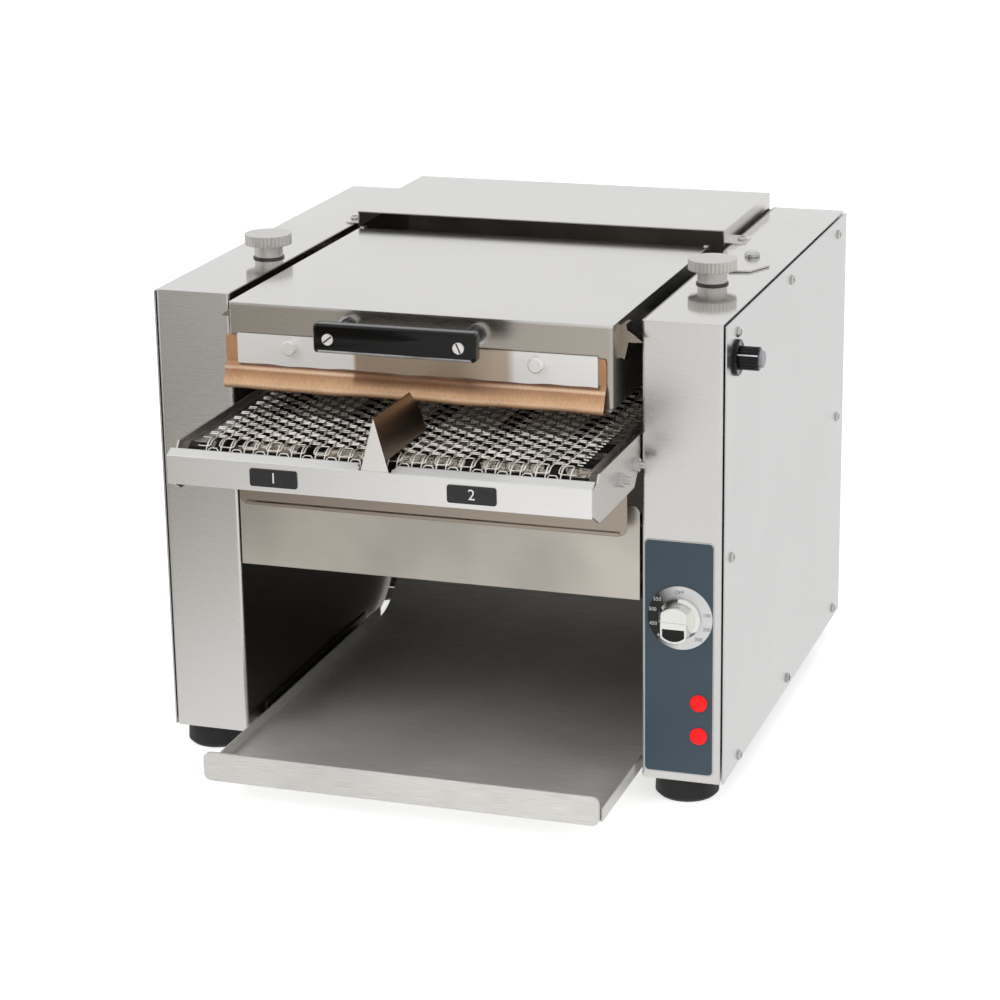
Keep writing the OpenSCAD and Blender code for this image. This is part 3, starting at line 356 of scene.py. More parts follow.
def dialFade(tree, coords, color):
    # the ring's colour runs from black at the left to the metal's own colour at the right
    up = sums(tree, "ABSOLUTE", along(tree, coords, "z", dialAt["z"]))
    across = along(tree, coords, "x", dialAt["x"])
    lean = sums(tree, "ADD", across, sums(tree, "MULTIPLY", up, ringFade["lean"]))
    return blendColor(tree, ranged(tree, lean, 0.0, 1.0, *ringFade["fade"]), ringFade["color"], color)


steelColor = (0.70, 0.69, 0.675)
alongX = {"color": steelColor, "metallic": 1.0, "rough": (0.24, 0.33), "scale": 1.0,
          "stretch": (45, 2600, 2600), "bump": 0.03, "bumpHeight": 0.0002, "edge": 0.0009, "spread": 0.035,
          "blotch": 0.02}
alongY = dict(alongX, stretch=(2600, 45, 2600))
finishLooks = {
    "brushedCasing": dict(alongX, smoothTop=0.3, painted=shadeInside),
    "brushedPanel": dict(alongY, color=(0.66, 0.657, 0.664), rough=(0.27, 0.32), bump=0.008, spread=0.015),
    "conveyorSheet": dict(alongY, rough=(0.25, 0.33), painted=darkBehind),
    "brushedSheet": dict(alongX, color=(0.9, 0.885, 0.86), rough=(0.3, 0.4), smoothTop=0.8, metallic=0.6),
    "barSheet": dict(alongX, color=(0.93, 0.92, 0.9), rough=(0.3, 0.4), metallic=0.6, painted=barShade),
    "lipSheet": dict(alongX, color=(0.93, 0.927, 0.92), rough=(0.3, 0.4), painted=lipShade),
    "platenSheet": dict(alongX, smoothTop=0.5, painted=warmFront),
    "coverSheet": dict(alongX, smoothTop=0.5),
    "traySheet": dict(
        alongX, rough=(0.42, 0.55), color=(0.76, 0.75, 0.72), edge=0.0012, metallic=0.5, bump=0.25,
        bumpHeight=0.0004, spread=0.16, blotch=0.07),
    "apronSheet": dict(
        alongX, rough=(0.3, 0.4), color=(0.54, 0.51, 0.46), blotch=0.14, broadScale=11.0, spread=0.06),
    "guardSheet": dict(alongX, rough=(0.1, 0.14), color=(0.36, 0.31, 0.26), bump=0.01),
    "dividerSheet": dict(alongX, rough=(0.26, 0.34), color=(0.95, 0.935, 0.91), painted=shadeFlanks),
    # painted shade: the rear chute and the tray rails are dark for the shade inside the machine
    "shadedInnerSheet": dict(alongX, rough=(0.4, 0.55), color=(0.16, 0.14, 0.12), blotch=0.15),
    "beltWire": {
        "color": (0.9, 0.87, 0.82), "metallic": 0.92, "rough": (0.26, 0.42), "scale": 900, "bump": 0.05,
        "edge": 0.0, "spread": 0.14, "blotch": 0.12, "broadScale": 30},
    # painted shade: the belt bed, the front rollers and the front shaft are near black for the shade under
    # the belt
    "shadedBed": {
        "color": (0.012, 0.0105, 0.009), "metallic": 0.0, "rough": (0.75, 0.9), "scale": 300, "bump": 0.08,
        "edge": 0.0004, "blotch": 0.2, "ior": 1.15},
    "brightFastener": {
        "color": (0.56, 0.555, 0.54), "metallic": 0.8, "rough": (0.12, 0.22), "scale": 700, "bump": 0.04,
        "edge": 0.0006},
    "castKnob": {
        "color": (0.64, 0.625, 0.6), "metallic": 0.75, "rough": (0.28, 0.42), "scale": 1300, "bump": 0.5,
        "bumpHeight": 0.0007, "edge": 0.0008, "spread": 0.16},
    # oiled steel for the sprockets and bushes, also the painted shade of the screw recesses, the handle's
    # screw slots and the knob's crease
    "oiledSteelAndRecessShade": {
        "color": (0.1, 0.095, 0.09), "metallic": 1.0, "rough": (0.35, 0.5), "scale": 400, "bump": 0.1,
        "edge": 0.0004},
    "chromePlate": {
        "color": (0.8, 0.8, 0.77), "metallic": 1.0, "rough": (0.07, 0.12), "scale": 300, "bump": 0.01,
        "edge": 0.0012, "spread": 0.02},
    "heatTintedSteel": {
        "color": (0.34, 0.285, 0.23), "metallic": 1.0, "rough": (0.25, 0.4), "scale": 260, "bump": 0.06,
        "edge": 0.0004, "blotch": 0.2},
    "footRubber": {
        "color": (0.016, 0.016, 0.017), "rough": (0.55, 0.72), "scale": 900, "bump": 0.15, "edge": 0.001,
        "spread": 0.15},
    "handleBakelite": {
        "color": (0.0025, 0.0025, 0.0024), "rough": (0.1, 0.15), "scale": 600, "bump": 0.01, "edge": 0.0005,
        "spread": 0.1, "ior": 1.36},
    # painted highlight on the handle's lower chamfer
    "chamferHighlight": {
        "color": (0.6, 0.6, 0.6), "metallic": 0.6, "rough": (0.16, 0.24), "scale": 500, "bump": 0.01,
        "spread": 0.12, "blotch": 0.25, "broadScale": 30},
    "capGrey": {
        "color": (0.34, 0.35, 0.38), "rough": (0.35, 0.45), "scale": 600, "bump": 0.02, "edge": 0.0004},
    "sinteredSteel": {
        "color": (0.13, 0.115, 0.1), "metallic": 0.8, "rough": (0.4, 0.55), "scale": 500, "bump": 0.08,
        "edge": 0.0003},
    "labelPlate": {
        "color": (0.022, 0.022, 0.023), "rough": (0.35, 0.5), "scale": 900, "bump": 0.08, "edge": 0.0004,
        "spread": 0.25, "blotch": 0.2, "broadScale": 260},
    "labelPrint": {
        "color": (0.82, 0.82, 0.81), "rough": (0.4, 0.5), "scale": 900, "bump": 0.02, "spread": 0.04},
    "dialPrint": {
        "color": (0.16, 0.16, 0.165), "rough": (0.4, 0.5), "scale": 900, "bump": 0.02, "spread": 0.04},
    "elementSheath": {
        "color": (0.16, 0.12, 0.09), "metallic": 1.0, "rough": (0.45, 0.6), "scale": 300, "bump": 0.1,
        "blotch": 0.2},
    "motorEnamel": {
        "color": (0.06, 0.07, 0.085), "rough": (0.3, 0.42), "scale": 500, "bump": 0.06, "edge": 0.0006},
    "ivoryMoulding": {
        "color": (0.6, 0.55, 0.43), "rough": (0.4, 0.55), "scale": 500, "bump": 0.05, "edge": 0.0006},
    "overlayFilm": {
        "color": (0.056, 0.087, 0.117), "rough": (0.4, 0.5), "scale": 1600, "bump": 0.06,
        "bumpHeight": 0.0002, "spread": 0.05, "painted": filmBorder},
    "redLens": {
        "color": (0.9, 0.002, 0.003), "rough": (0.3, 0.4), "scale": 700, "bump": 0.03, "spread": 0.03,
        "blotch": 0.02, "glow": 0.35},
    "dialMetal": {
        "color": (0.8, 0.8, 0.81), "metallic": 0.5, "rough": (0.32, 0.42), "scale": 900, "bump": 0.03,
        "edge": 0.0003, "spread": 0.03, "painted": dialFade},
    "machinedPlate": {
        "color": (0.6, 0.6, 0.59), "metallic": 1.0, "rough": (0.3, 0.45), "scale": 350, "bump": 0.06,
        "edge": 0.0005},
}
finishes = {name: newFinish(name, look) for name, look in finishLooks.items()}

dressing = {
    "brushedCasing": ["left_tower", "right_tower"],
    "barSheet": ["clamp_bar"],
    "brushedSheet": ["clamp_studs", "handle_screws"],
    "lipSheet": ["feed_lip"],
    "dividerSheet": ["lane_divider"],
    "traySheet": ["discharge_tray"],
    "brushedPanel": ["left_side_panel", "right_side_panel"],
    "conveyorSheet": ["left_conveyor_plate", "right_conveyor_plate"],
    "platenSheet": ["platen_cover"],
    "coverSheet": ["rear_cover", "swing_latch"],
    "apronSheet": ["apron", "rear_panel"],
    "guardSheet": ["belt_guard"],
    "shadedInnerSheet": ["rear_chute", "tray_rails"],
    "beltWire": ["wire_belt"],
    "shadedBed": ["belt_bed", "front_rollers", "front_shaft"],
    "brightFastener": ["casing_screws", "conveyor_bolts", "drive_shaft", "handle_ferrules", "platen_pins",
                       "pivot_brackets", "screw_brackets", "left_carriage", "right_carriage", "latch_screw",
                       "drive_chain"],
    "castKnob": ["left_adjust_knob", "right_adjust_knob"],
    "machinedPlate": ["platen_plate"],
    "oiledSteelAndRecessShade": ["adjuster_bushes", "drive_sprockets", "driven_sprocket", "motor_sprocket"],
    "chromePlate": ["thermostat_knob"],
    "dialMetal": ["dial_ring"],
    "sinteredSteel": ["shaft_bushings"],
    "heatTintedSteel": ["platen_brackets"],
    "footRubber": ["feet"],
    "handleBakelite": ["handle", "speed_knob", "cable_gland", "speed_control"],
    "labelPlate": ["lane_labels"],
    "elementSheath": ["heating_elements"],
    "motorEnamel": ["gear_motor"],
    "overlayFilm": ["control_overlay"],
    "redLens": ["indicator_lamps"],
    "ivoryMoulding": ["terminal_block", "thermostat_body"],
}
for finish, names in dressing.items():
    for name in names:
        mesh = nodes[name].data
        mesh.materials.clear()
        mesh.materials.append(finishes[finish])
print("cad nodes dressed")


# wire belt: every wire is a square wave with narrow bars behind and wide bars in front, each wire stands half
# a wave beside the one before it and hooks over it; the loop follows both rollers
beltShape = {
    "left": -153.0, "right": 153.0, "margin": 2.5, "crestAt": -110.0, "wavesBefore": 4, "wave": 19.6,
    "crest": 7.6, "wire": 1.25, "corner": 1.4, "raised": 0.22, "sunk": -0.52, "hook": 1.8, "wires": 118,
    "noseLeg": 19.3, "noseWires": 2, "noseStart": 1.5, "noseStretch": 1.9, "firstCrest": 2.5,
    "frontY": -104.0, "backY": 314.0, "axisZ": 274.65, "radius": 12.5,
}


def beltWirePath(shape, leg, shift, cuts):
    # points of one wire as (across, along, height), with cut corners and legs cut for bending
    front, back = (-leg / 2, shape["sunk"]), (leg / 2, shape["raised"])
    turns = []
    x = shape["crestAt"] + shift - shape["wavesBefore"] * shape["wave"]
    while x < shape["right"]:
        turns += [(x - shape["crest"] / 2, back), (x + shape["crest"] / 2, front)]
        x += shape["wave"]
    low, high = shape["left"] + shape["margin"], shape["right"] - shape["margin"]
    inside = [k for k, (x, after) in enumerate(turns) if low < x < high]
    level = front if turns[inside[0]][1] is back else back
    corners = [(shape["left"], *level)]
    for k in inside:
        x, after = turns[k]
        corners += [(x, *level), (x, *after)]
        level = after
    corners.append((shape["right"], *level))
    points = [Vector(corners[0])]
    for before, here, after in zip(corners, corners[1:], corners[2:]):
        here = Vector(here)
        for other in (before, after):
            points.append(here + (Vector(other) - here).normalized() * shape["corner"])
    points.append(Vector(corners[-1]))
    path = [points[0]]
    for a, b in zip(points, points[1:]):
        steps = cuts if abs(b.y - a.y) > leg / 2 else 1
        path += [a.lerp(b, k / steps) for k in range(1, steps + 1)]
    return path


def addWire(shape, leg, shift, cuts, roundness):
    path = [p / 1000 for p in beltWirePath(shape, leg, shift, cuts)]
    clearSelection()
    bpy.ops.mesh.primitive_plane_add(size=0.001, location=(0, 0, 0))
    bpy.ops.object.mode_set(mode="EDIT")
    bpy.ops.mesh.select_all(action="SELECT")
    bpy.ops.mesh.merge(type="CENTER")
    bpy.ops.transform.translate(value=path[0])
    for a, b in zip(path, path[1:]):
        bpy.ops.mesh.extrude_vertices_move(TRANSFORM_OT_translate={"value": b - a})
    bpy.ops.object.mode_set(mode="OBJECT")
    bpy.ops.object.convert(target="CURVE")
    wire = bpy.context.object
    wire.data.dimensions = "3D"
    wire.data.bevel_depth = shape["wire"] / 2000
    wire.data.bevel_resolution = roundness
    wire.data.use_fill_caps = True
    bpy.ops.object.convert(target="MESH")
    return bpy.context.object


def beltLoop(shape, travel, height):
    # travel starts at the top of the front roller and goes back on the upper run and forward below
    run = shape["backY"] - shape["frontY"]
    turn = math.pi * shape["radius"]
    r = shape["radius"] + height
    travel %= 2 * (run + turn)
    if travel < run:
        return shape["frontY"] + travel, shape["axisZ"] + r
    travel -= run
    if travel < turn:
        a = travel / shape["radius"]
        return shape["backY"] + r * math.sin(a), shape["axisZ"] + r * math.cos(a)
    travel -= turn
    if travel < run:
        return shape["backY"] - travel, shape["axisZ"] - r
    a = (travel - run) / shape["radius"]
    return shape["frontY"] - r * math.sin(a), shape["axisZ"] - r * math.cos(a)


def addBelt(shape):
    run = shape["backY"] - shape["frontY"]
    nose = math.pi * shape["radius"]
    loop = 2 * (run + nose)
    slack = loop - nose + nose / shape["noseStretch"]
    pitch = slack / shape["wires"]
    short, long = pitch + shape["hook"], shape["noseLeg"]

    def spread(travel):
        # the links are pulled further apart round the front roller
        travel %= slack
        if travel < loop - nose:
            return shape["noseStart"] + travel
        return shape["noseStart"] - (slack - travel) * shape["noseStretch"]

    # leg, cuts along it and roundness of each kind of wire, modelled once for even and once for odd places
    kinds = {"upper": (short, 1, 1), "turning": (short, 3, 1), "nose": (long, 7, 1), "lower": (short, 1, 0)}
    templates = {(kind, side): addWire(shape, leg, side * shape["wave"] / 2, cuts, roundness)
                 for kind, (leg, cuts, roundness) in kinds.items() for side in (0, 1)}
    parts = []
    for k in range(shape["wires"]):
        # the first wires on the upper run reach down over the roller
        atNose = k < shape["noseWires"]
        leg = long if atNose else short
        middle = spread(shape["firstCrest"] - shape["noseStart"] + k * pitch) - leg / 2
        low, high = (middle - leg / 2) % loop, (middle + leg / 2) % loop
        kind = "nose" if atNose else "turning"
        if low < high < run:
            kind = "upper"
        elif loop / 2 < low < high < loop / 2 + run:
            kind = "lower"
        copy = copyPiece(templates[kind, k % 2], "beltWire")
        for vertex in copy.data.vertices:
            x, s, h = vertex.co * 1000
            y, z = beltLoop(shape, middle + s, h)
            vertex.co = at(x, y, z)
        parts.append(copy)
    for template in templates.values():
        bpy.data.objects.remove(template)
    return joinPieces(parts, "wireMesh")


wireMesh = addBelt(beltShape)
wear(wireMesh, finishes["beltWire"], "frame", angle=50)
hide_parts("wire_belt")
print("belt", len(wireMesh.data.polygons), "faces")


# release sheet: hangs from the clamp bar, flares forward, rolls under and runs back below the plate
sheetShape = {
    "left": -161.0, "right": 153.6, "underLeft": -154.0, "underRight": 151.0, "backY": 254.0, "underZ": 310.4,
    "thick": 0.5, "columns": 96, "rowStep": 12.0, "hangShare": 0.25,
    "underTop": 311.0, "narrow": (-36.0, 25.0), "hang": (331.5, 12.0), "crease": (330.0, 3.0),
    # waves along the width: height, half waves and shift
    "sway": ((0.7, 5.1, 0.6), (0.4, 11.7, 0.0)), "swayUp": 0.3,
    "ripple": ((0.5, 7.3, 0.0), (0.35, 19.0, 1.0)),
    "profile": [(-34.2, 353.5), (-34.2, 346), (-34.2, 338), (-34.2, 332.5), (-34.6, 330.9), (-36.0, 329.9),
                (-37.2, 328.2), (-38.6, 323.8), (-40.2, 319.4), (-42.0, 316.4), (-42.8, 314.8),
                (-42.6, 312.8), (-41.0, 311.1), (-38.5, 310.5), (-33, 310.4), (-25, 310.4)],
}


def share(value):
    return min(1.0, max(0.0, value))


def waves(terms, u):
    return sum(high * math.sin(count * u * math.pi + shift) for high, count, shift in terms)


def sheetProfile(shape):
    profile = list(shape["profile"])
    y = profile[-1][0]
    while y < shape["backY"] - 1:
        y = min(y + shape["rowStep"], shape["backY"])
        profile.append((y, shape["underZ"]))
    return profile


def layRow(cloth, shape, row, y, z):
    # one row of the cloth across the platen, narrower below the plate and uneven where it hangs
    under = share((y - shape["narrow"][0]) / shape["narrow"][1]) if z < shape["underTop"] else 0.0
    left = shape["left"] * (1 - under) + shape["underLeft"] * under
    right = shape["right"] * (1 - under) + shape["underRight"] * under
    hang = share((shape["hang"][0] - z) / shape["hang"][1]) * (1 - under)
    crease = share(1.0 - abs(z - shape["crease"][0]) / shape["crease"][1])
    count = shape["columns"] + 1
    for k in range(count):
        u = k / shape["columns"]
        x = left + (right - left) * u
        sway = hang * waves(shape["sway"], u)
        up = shape["swayUp"] * sway + crease * waves(shape["ripple"], u)
        cloth.data.vertices[row * count + k].co = at(x, y + sway, z + up)


def addSheet(shape):
    profile = sheetProfile(shape)
    clearSelection()
    bpy.ops.mesh.primitive_grid_add(x_subdivisions=shape["columns"], y_subdivisions=len(profile) - 1, size=1)
    cloth = bpy.context.object
    cloth.name = "releaseCloth"
    for row, (y, z) in enumerate(profile):
        layRow(cloth, shape, row, y, z)
    cloth.data.update()
    pick(cloth)
    wall = cloth.modifiers.new("wall", "SOLIDIFY")
    wall.thickness = shape["thick"] / 1000
    wall.offset = 0
    bpy.ops.object.modifier_apply(modifier="wall")
    soften = cloth.modifiers.new("soften", "SUBSURF")
    soften.levels = 1
    soften.render_levels = 1
    bpy.ops.object.modifier_apply(modifier="soften")
    bpy.ops.object.mode_set(mode="EDIT")
    bpy.ops.mesh.select_all(action="SELECT")
    bpy.ops.mesh.normals_make_consistent(inside=False)
    bpy.ops.object.mode_set(mode="OBJECT")
    hung, under = shape["right"] - shape["left"], shape["underRight"] - shape["underLeft"]
    width = hung * shape["hangShare"] + under * (1 - shape["hangShare"])
    length = sum(math.hypot(yb - ya, zb - za) for (ya, za), (yb, zb) in zip(profile, profile[1:]))
    return cloth, width / 1000, length / 1000


# places in millimetres; crease, bend and gap are a middle, how far it is full, where it ends and its strength
clothPaintedLight = {
    "brownShade": (318.0, 325.5), "brownShadeColor": (0.44, 0.225, 0.11),
    "left": (-53.0, -50.0), "right": (45.0, 75.0), "handleShade": (318.5, 324.5), "handleShadeColor": (0.2, 0.085, 0.03),
    "crease": (327.2, 0.4, 1.8), "creaseInShade": 0.1, "bend": (315.4, 0.4, 1.6, 0.7),
    "foldHighlightColor": (0.78, 0.53, 0.35),
    "gap": (330.8, 1.2, 2.2), "gapWide": (148.0, 150.0), "gapColor": (0.13, 0.055, 0.025),
    "under": (311.2, 314.2), "underColor": (0.17, 0.085, 0.045),
}


def clothShade(tree, coords, color):
    # painted highlights along the crease and the lower bend; painted shade on the upper part, in the gap
    # right below the clamp bar, below the handle and where it rolls under the plate
    look = clothPaintedLight
    x, z = along(tree, coords, "x"), along(tree, coords, "z")
    color = blendColor(tree, ranged(tree, z, 0.0, 1.0, *look["brownShade"]), color, look["brownShadeColor"])
    handleShade = belowHandle(tree, x, look)
    handleShadeTop = sums(tree, "MULTIPLY", handleShade, ranged(tree, z, 0.0, 1.0, *look["handleShade"]))
    color = blendColor(tree, handleShadeTop, color, look["handleShadeColor"])
    bright = ranged(tree, handleShade, 1.0, look["creaseInShade"], 0.0, 1.0)
    crease = sums(tree, "MULTIPLY", near(tree, z, *look["crease"]), bright)
    foldHighlight = sums(tree, "MAXIMUM", crease, near(tree, z, *look["bend"]))
    color = blendColor(tree, foldHighlight, color, look["foldHighlightColor"])
    gap = sums(tree, "MULTIPLY", near(tree, z, *look["gap"]), near(tree, x, 0.0, *look["gapWide"]))
    color = blendColor(tree, gap, color, look["gapColor"])
    return blendColor(tree, ranged(tree, z, 1.0, 0.0, *look["under"]), color, look["underColor"])


clothFinish = newFinish("coatedGlassCloth", {
    "color": (0.69, 0.405, 0.215), "painted": clothShade, "rough": (0.3, 0.44), "scale": 1.0,
    "stretch": (1500, 260, 260), "bump": 0.12, "bumpHeight": 0.0003, "spread": 0.16, "blotch": 0.1,
    "broadScale": 26, "coat": 0.45, "coatRough": 0.16})
releaseCloth, clothWidth, clothLength = addSheet(sheetShape)
wear(releaseCloth, clothFinish, "platen", angle=50)
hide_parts("release_sheet")
print("release sheet", round(clothWidth, 3), round(clothLength, 3))


# printed words: plain numbers on the dial and on the two lane labels
dialWords = {"y": -1.64, "size": 4.3, "thick": 0.08,
             "left": [("550", -18.6, 14.2), ("500", -22.4, 5.6), ("450", -21.8, -6.2), ("400", -15.6, -15.6)],
             "right": [("OFF", -0.6, 21.2), ("350", -4.6, -21.2), ("300", 15.0, -16.6), ("200", 21.6, -7.6),
                       ("100", 21.6, 4.0)]}
laneWords = {"y": -133.8, "size": 12.0, "thick": 0.08, "words": [("1", -82.0, 268.5), ("2", 77.5, 268.5)]}


def addWords(words, look, name):
    parts = []
    for word, x, z in words:
        clearSelection()
        bpy.ops.object.text_add(rotation=(math.pi / 2, 0, 0))
        text = bpy.context.object
        text.data.body = word
        text.data.size = look["size"] / 1000
        text.data.align_x = "CENTER"
        text.data.align_y = "CENTER"
        text.data.resolution_u = 3
        text.data.extrude = look["thick"] / 2000
        bpy.ops.object.convert(target="MESH")
        text = bpy.context.object
        text.location = at(x, look["y"], z)
        settle(text)
        parts.append(text)
    return joinPieces(parts, name)


for side, ink in (("left", "labelPrint"), ("right", "dialPrint")):
    words = [(word, dialAt["x"] + dx, dialAt["z"] + dz) for word, dx, dz in dialWords[side]]
    wear(addWords(words, dialWords, side + "DialNumbers"), finishes[ink], "frame")
laneNumbers = addWords(laneWords["words"], laneWords, "laneNumbers")
wear(laneNumbers, finishes["labelPrint"], "frame")
print("numbers printed")


# recesses in the screw heads: one dark cross or slot, painted shade standing for the recess, copied to every
# head
recessLook = {
    "arm": 5.0, "width": 1.3, "deep": 0.2,
    "sideX": 240.86, "sideTurn": (0.5, 0.7),
    "sides": [(37, 363), (221.5, 363), (406.25, 363), (21.5, 184.9), (414, 193.3), (52.5, 5.7),
              (lowScrewAt["y"], lowScrewAt["z"]), (414, 9.3)],
    "tabs": [(178, 297), (-178, 297)], "tabZ": 380.6, "tabTurn": (0.4, 1.0),
    "postTurns": (-38, 66), "postY": -81.6, "postArm": 8.2,
}


def addRecess(arm, width, deep, cross):
    # a bar, crossed by a second one pulled out of its long sides
    clearSelection()
    bpy.ops.mesh.primitive_cube_add(size=1)
    bar = bpy.context.object
    bar.scale = (arm / 1000, width / 1000, deep / 1000)
    settle(bar)
    if cross:
        half = width / 2000
        bpy.ops.object.mode_set(mode="EDIT")
        for side in (-half, half):
            bpy.ops.mesh.select_all(action="SELECT")
            bpy.ops.mesh.bisect(plane_co=(side, 0, 0), plane_no=(1, 0, 0))
        for sign in (-1, 1):
            chooseFaces(bar, lambda f: f.normal.y * sign > squareOn and abs(f.center.x) < half)
            bpy.ops.mesh.extrude_region_move(
                TRANSFORM_OT_translate={"value": (0, sign * (arm - width) / 2000, 0)})
        bpy.ops.object.mode_set(mode="OBJECT")
    soft = bar.modifiers.new("soft", "BEVEL")
    soft.width = deep / 3 / 1000
    soft.segments = 1
    bpy.ops.object.modifier_apply(modifier="soft")
    return bar


def addScrewMarks(look):
    cross = addRecess(look["arm"], look["width"], look["deep"], True)
    marks = []
    for k, (y, z) in enumerate(look["sides"]):
        for sign in (-1, 1):
            mark = copyPiece(cross, "sideMark")
            mark.rotation_euler = (0, 0, look["sideTurn"][0] + look["sideTurn"][1] * k)
            settle(mark)
            mark.rotation_euler = (0, math.pi / 2, 0)
            mark.location = at(sign * look["sideX"], y, z)
            settle(mark)
            marks.append(mark)
    for k, (x, y) in enumerate(look["tabs"]):
        mark = copyPiece(cross, "tabMark")
        mark.rotation_euler = (0, 0, look["tabTurn"][0] + look["tabTurn"][1] * k)
        mark.location = at(x, y, look["tabZ"])
        settle(mark)
        marks.append(mark)
    bpy.data.objects.remove(cross)
    slot = addRecess(look["postArm"], look["width"], look["deep"], False)
    slots = []
    for x, turn in zip(handleAt["posts"], look["postTurns"]):
        mark = copyPiece(slot, "slotMark")
        mark.rotation_euler = (math.pi / 2, 0, 0)
        settle(mark)
        mark.rotation_euler = (0, math.radians(turn), 0)
        mark.location = at(x, look["postY"], handleAt["z"])
        settle(mark)
        slots.append(mark)
    bpy.data.objects.remove(slot)
    return joinPieces(marks, "screwRecesses"), joinPieces(slots, "handleScrewSlots")


screwRecesses, handleScrewSlots = addScrewMarks(recessLook)
wear(screwRecesses, finishes["oiledSteelAndRecessShade"], "frame", angle=35)
wear(handleScrewSlots, finishes["oiledSteelAndRecessShade"], "platen", angle=35)
print("screw heads marked")


# handle: bar with a broad chamfer below, on two tapered posts
gripShape = {
    "middle": -2.2, "long": 132.0, "high": 23.0, "thick": 11.0, "front": -80.0, "corner": 3.0, "soft": 0.4,
    "chamfer": 2.4, "frontIn": (3.2, 4.4), "frontUp": 0.8,
    "shineUp": 2.6, "shineArea": 50.0, "shineSlope": 0.3,
    "postEnd": -37.0, "postSink": 1.0, "postRadius": (5.0, 6.4),
}


def addGripBar(shape):
    clearSelection()
    bpy.ops.mesh.primitive_cube_add(size=1)
    bar = bpy.context.object
    bar.scale = (shape["long"] / 1000, (shape["thick"] - shape["chamfer"]) / 1000, shape["high"] / 1000)
    middleY = shape["front"] + (shape["thick"] + shape["chamfer"]) / 2
    bar.location = at(shape["middle"], middleY, handleAt["z"])
    settle(bar)
    bpy.ops.object.mode_set(mode="EDIT")
    bpy.ops.mesh.select_mode(type="EDGE")
    bpy.ops.mesh.select_all(action="DESELECT")
    bpy.ops.object.mode_set(mode="OBJECT")
    for edge in bar.data.edges:
        a, b = (bar.data.vertices[k].co for k in edge.vertices)
        edge.select = abs(a.y - b.y) > shape["thick"] / 2000  # the four edges from front to back
    bpy.ops.object.mode_set(mode="EDIT")
    bpy.ops.mesh.bevel(offset=shape["corner"] / 1000, segments=4, affect="EDGES")
    chooseFaces(bar, lambda f: f.normal.y < -squareOn)
    bpy.ops.mesh.extrude_region_move(TRANSFORM_OT_translate={"value": (0, -shape["chamfer"] / 1000, 0)})
    smaller = (1 - shape["frontIn"][0] / shape["long"], 1, 1 - shape["frontIn"][1] / shape["high"])
    middle = at(shape["middle"], shape["front"], handleAt["z"])
    bpy.ops.transform.resize(value=smaller, center_override=middle)
    bpy.ops.transform.translate(value=(0, 0, shape["frontUp"] / 1000))
    bpy.ops.object.mode_set(mode="OBJECT")
    soft = bar.modifiers.new("soft", "BEVEL")
    soft.width = shape["soft"] / 1000
    soft.segments = 2
    soft.limit_method = "ANGLE"
    bpy.ops.object.modifier_apply(modifier="soft")
    return bar


def addHandle(shape):
    parts = [addGripBar(shape)]
    back = shape["front"] + shape["thick"] - shape["postSink"]
    for x in handleAt["posts"]:
        clearSelection()
        bpy.ops.mesh.primitive_cone_add(
            vertices=32, radius1=shape["postRadius"][0] / 1000, radius2=shape["postRadius"][1] / 1000,
            depth=(shape["postEnd"] - back) / 1000, rotation=(-math.pi / 2, 0, 0),
            location=at(x, (shape["postEnd"] + back) / 2, handleAt["z"]))
        post = bpy.context.object
        settle(post)
        parts.append(post)
    return joinPieces(parts, "handleGrip")


def highlightChamfer(grip, shape):
    # painted highlight: the chamfer below the front gets a pale metal finish where it catches light from
    # below
    grip.data.materials.append(finishes["chamferHighlight"])
    top = at(0, 0, handleAt["z"] - shape["high"] / 2 + shape["shineUp"]).z
    for face in grip.data.polygons:
        sloped = max(face.normal.y, face.normal.z) < -shape["shineSlope"]
        if sloped and face.center.z < top and face.area * 1e6 > shape["shineArea"]:
            face.material_index = 1


handleGrip = addHandle(gripShape)
wear(handleGrip, finishes["handleBakelite"], "platen")
highlightChamfer(handleGrip, gripShape)
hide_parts("handle")


# speed knob: ribbed body on a skirt, pale cap and pointer line
speedShape = {
    "y": 32.0, "z": 344.0, "skirt": 14.4, "skirtSpan": (0.15, 2.6), "skirtSides": 48, "skirtEdge": 1.2,
    "body": 8.7, "bodyTop": 18.5, "bodyEdge": 0.8, "ribs": 36, "rib": 0.6, "ribEdge": 0.12,
    "cap": 6.6, "capSpan": (18.2, 21.5), "capSides": 40, "capEdge": 0.7,
    "lineLong": 17.0, "lineWide": 1.1, "lineThick": 0.5, "lineOut": 10.1, "linePast": 0.05, "lineUp": 0.47,
}


def addTurned(radius, low, high, sides, edge):
    # short round piece that stands on the origin, with a sloped shoulder and a dished top
    clearSelection()
    bpy.ops.mesh.primitive_cylinder_add(vertices=sides, radius=radius / 1000, depth=(high - low) / 1000,
                                        location=(0, 0, (high + low) / 2000))
    piece = bpy.context.object
    settle(piece)
    chooseFaces(piece, lambda f: f.normal.z > squareOn)
    bpy.ops.mesh.inset(thickness=edge / 1000)
    bpy.ops.transform.translate(value=(0, 0, edge / 2000))
    bpy.ops.mesh.inset(thickness=edge / 2000)
    bpy.ops.transform.translate(value=(0, 0, -edge / 4000))
    bpy.ops.object.mode_set(mode="OBJECT")
    return piece


def standOut(piece, shape):
    piece.rotation_euler = (0, math.pi / 2, 0)
    piece.location = at(panelX, shape["y"], shape["z"])
    settle(piece)


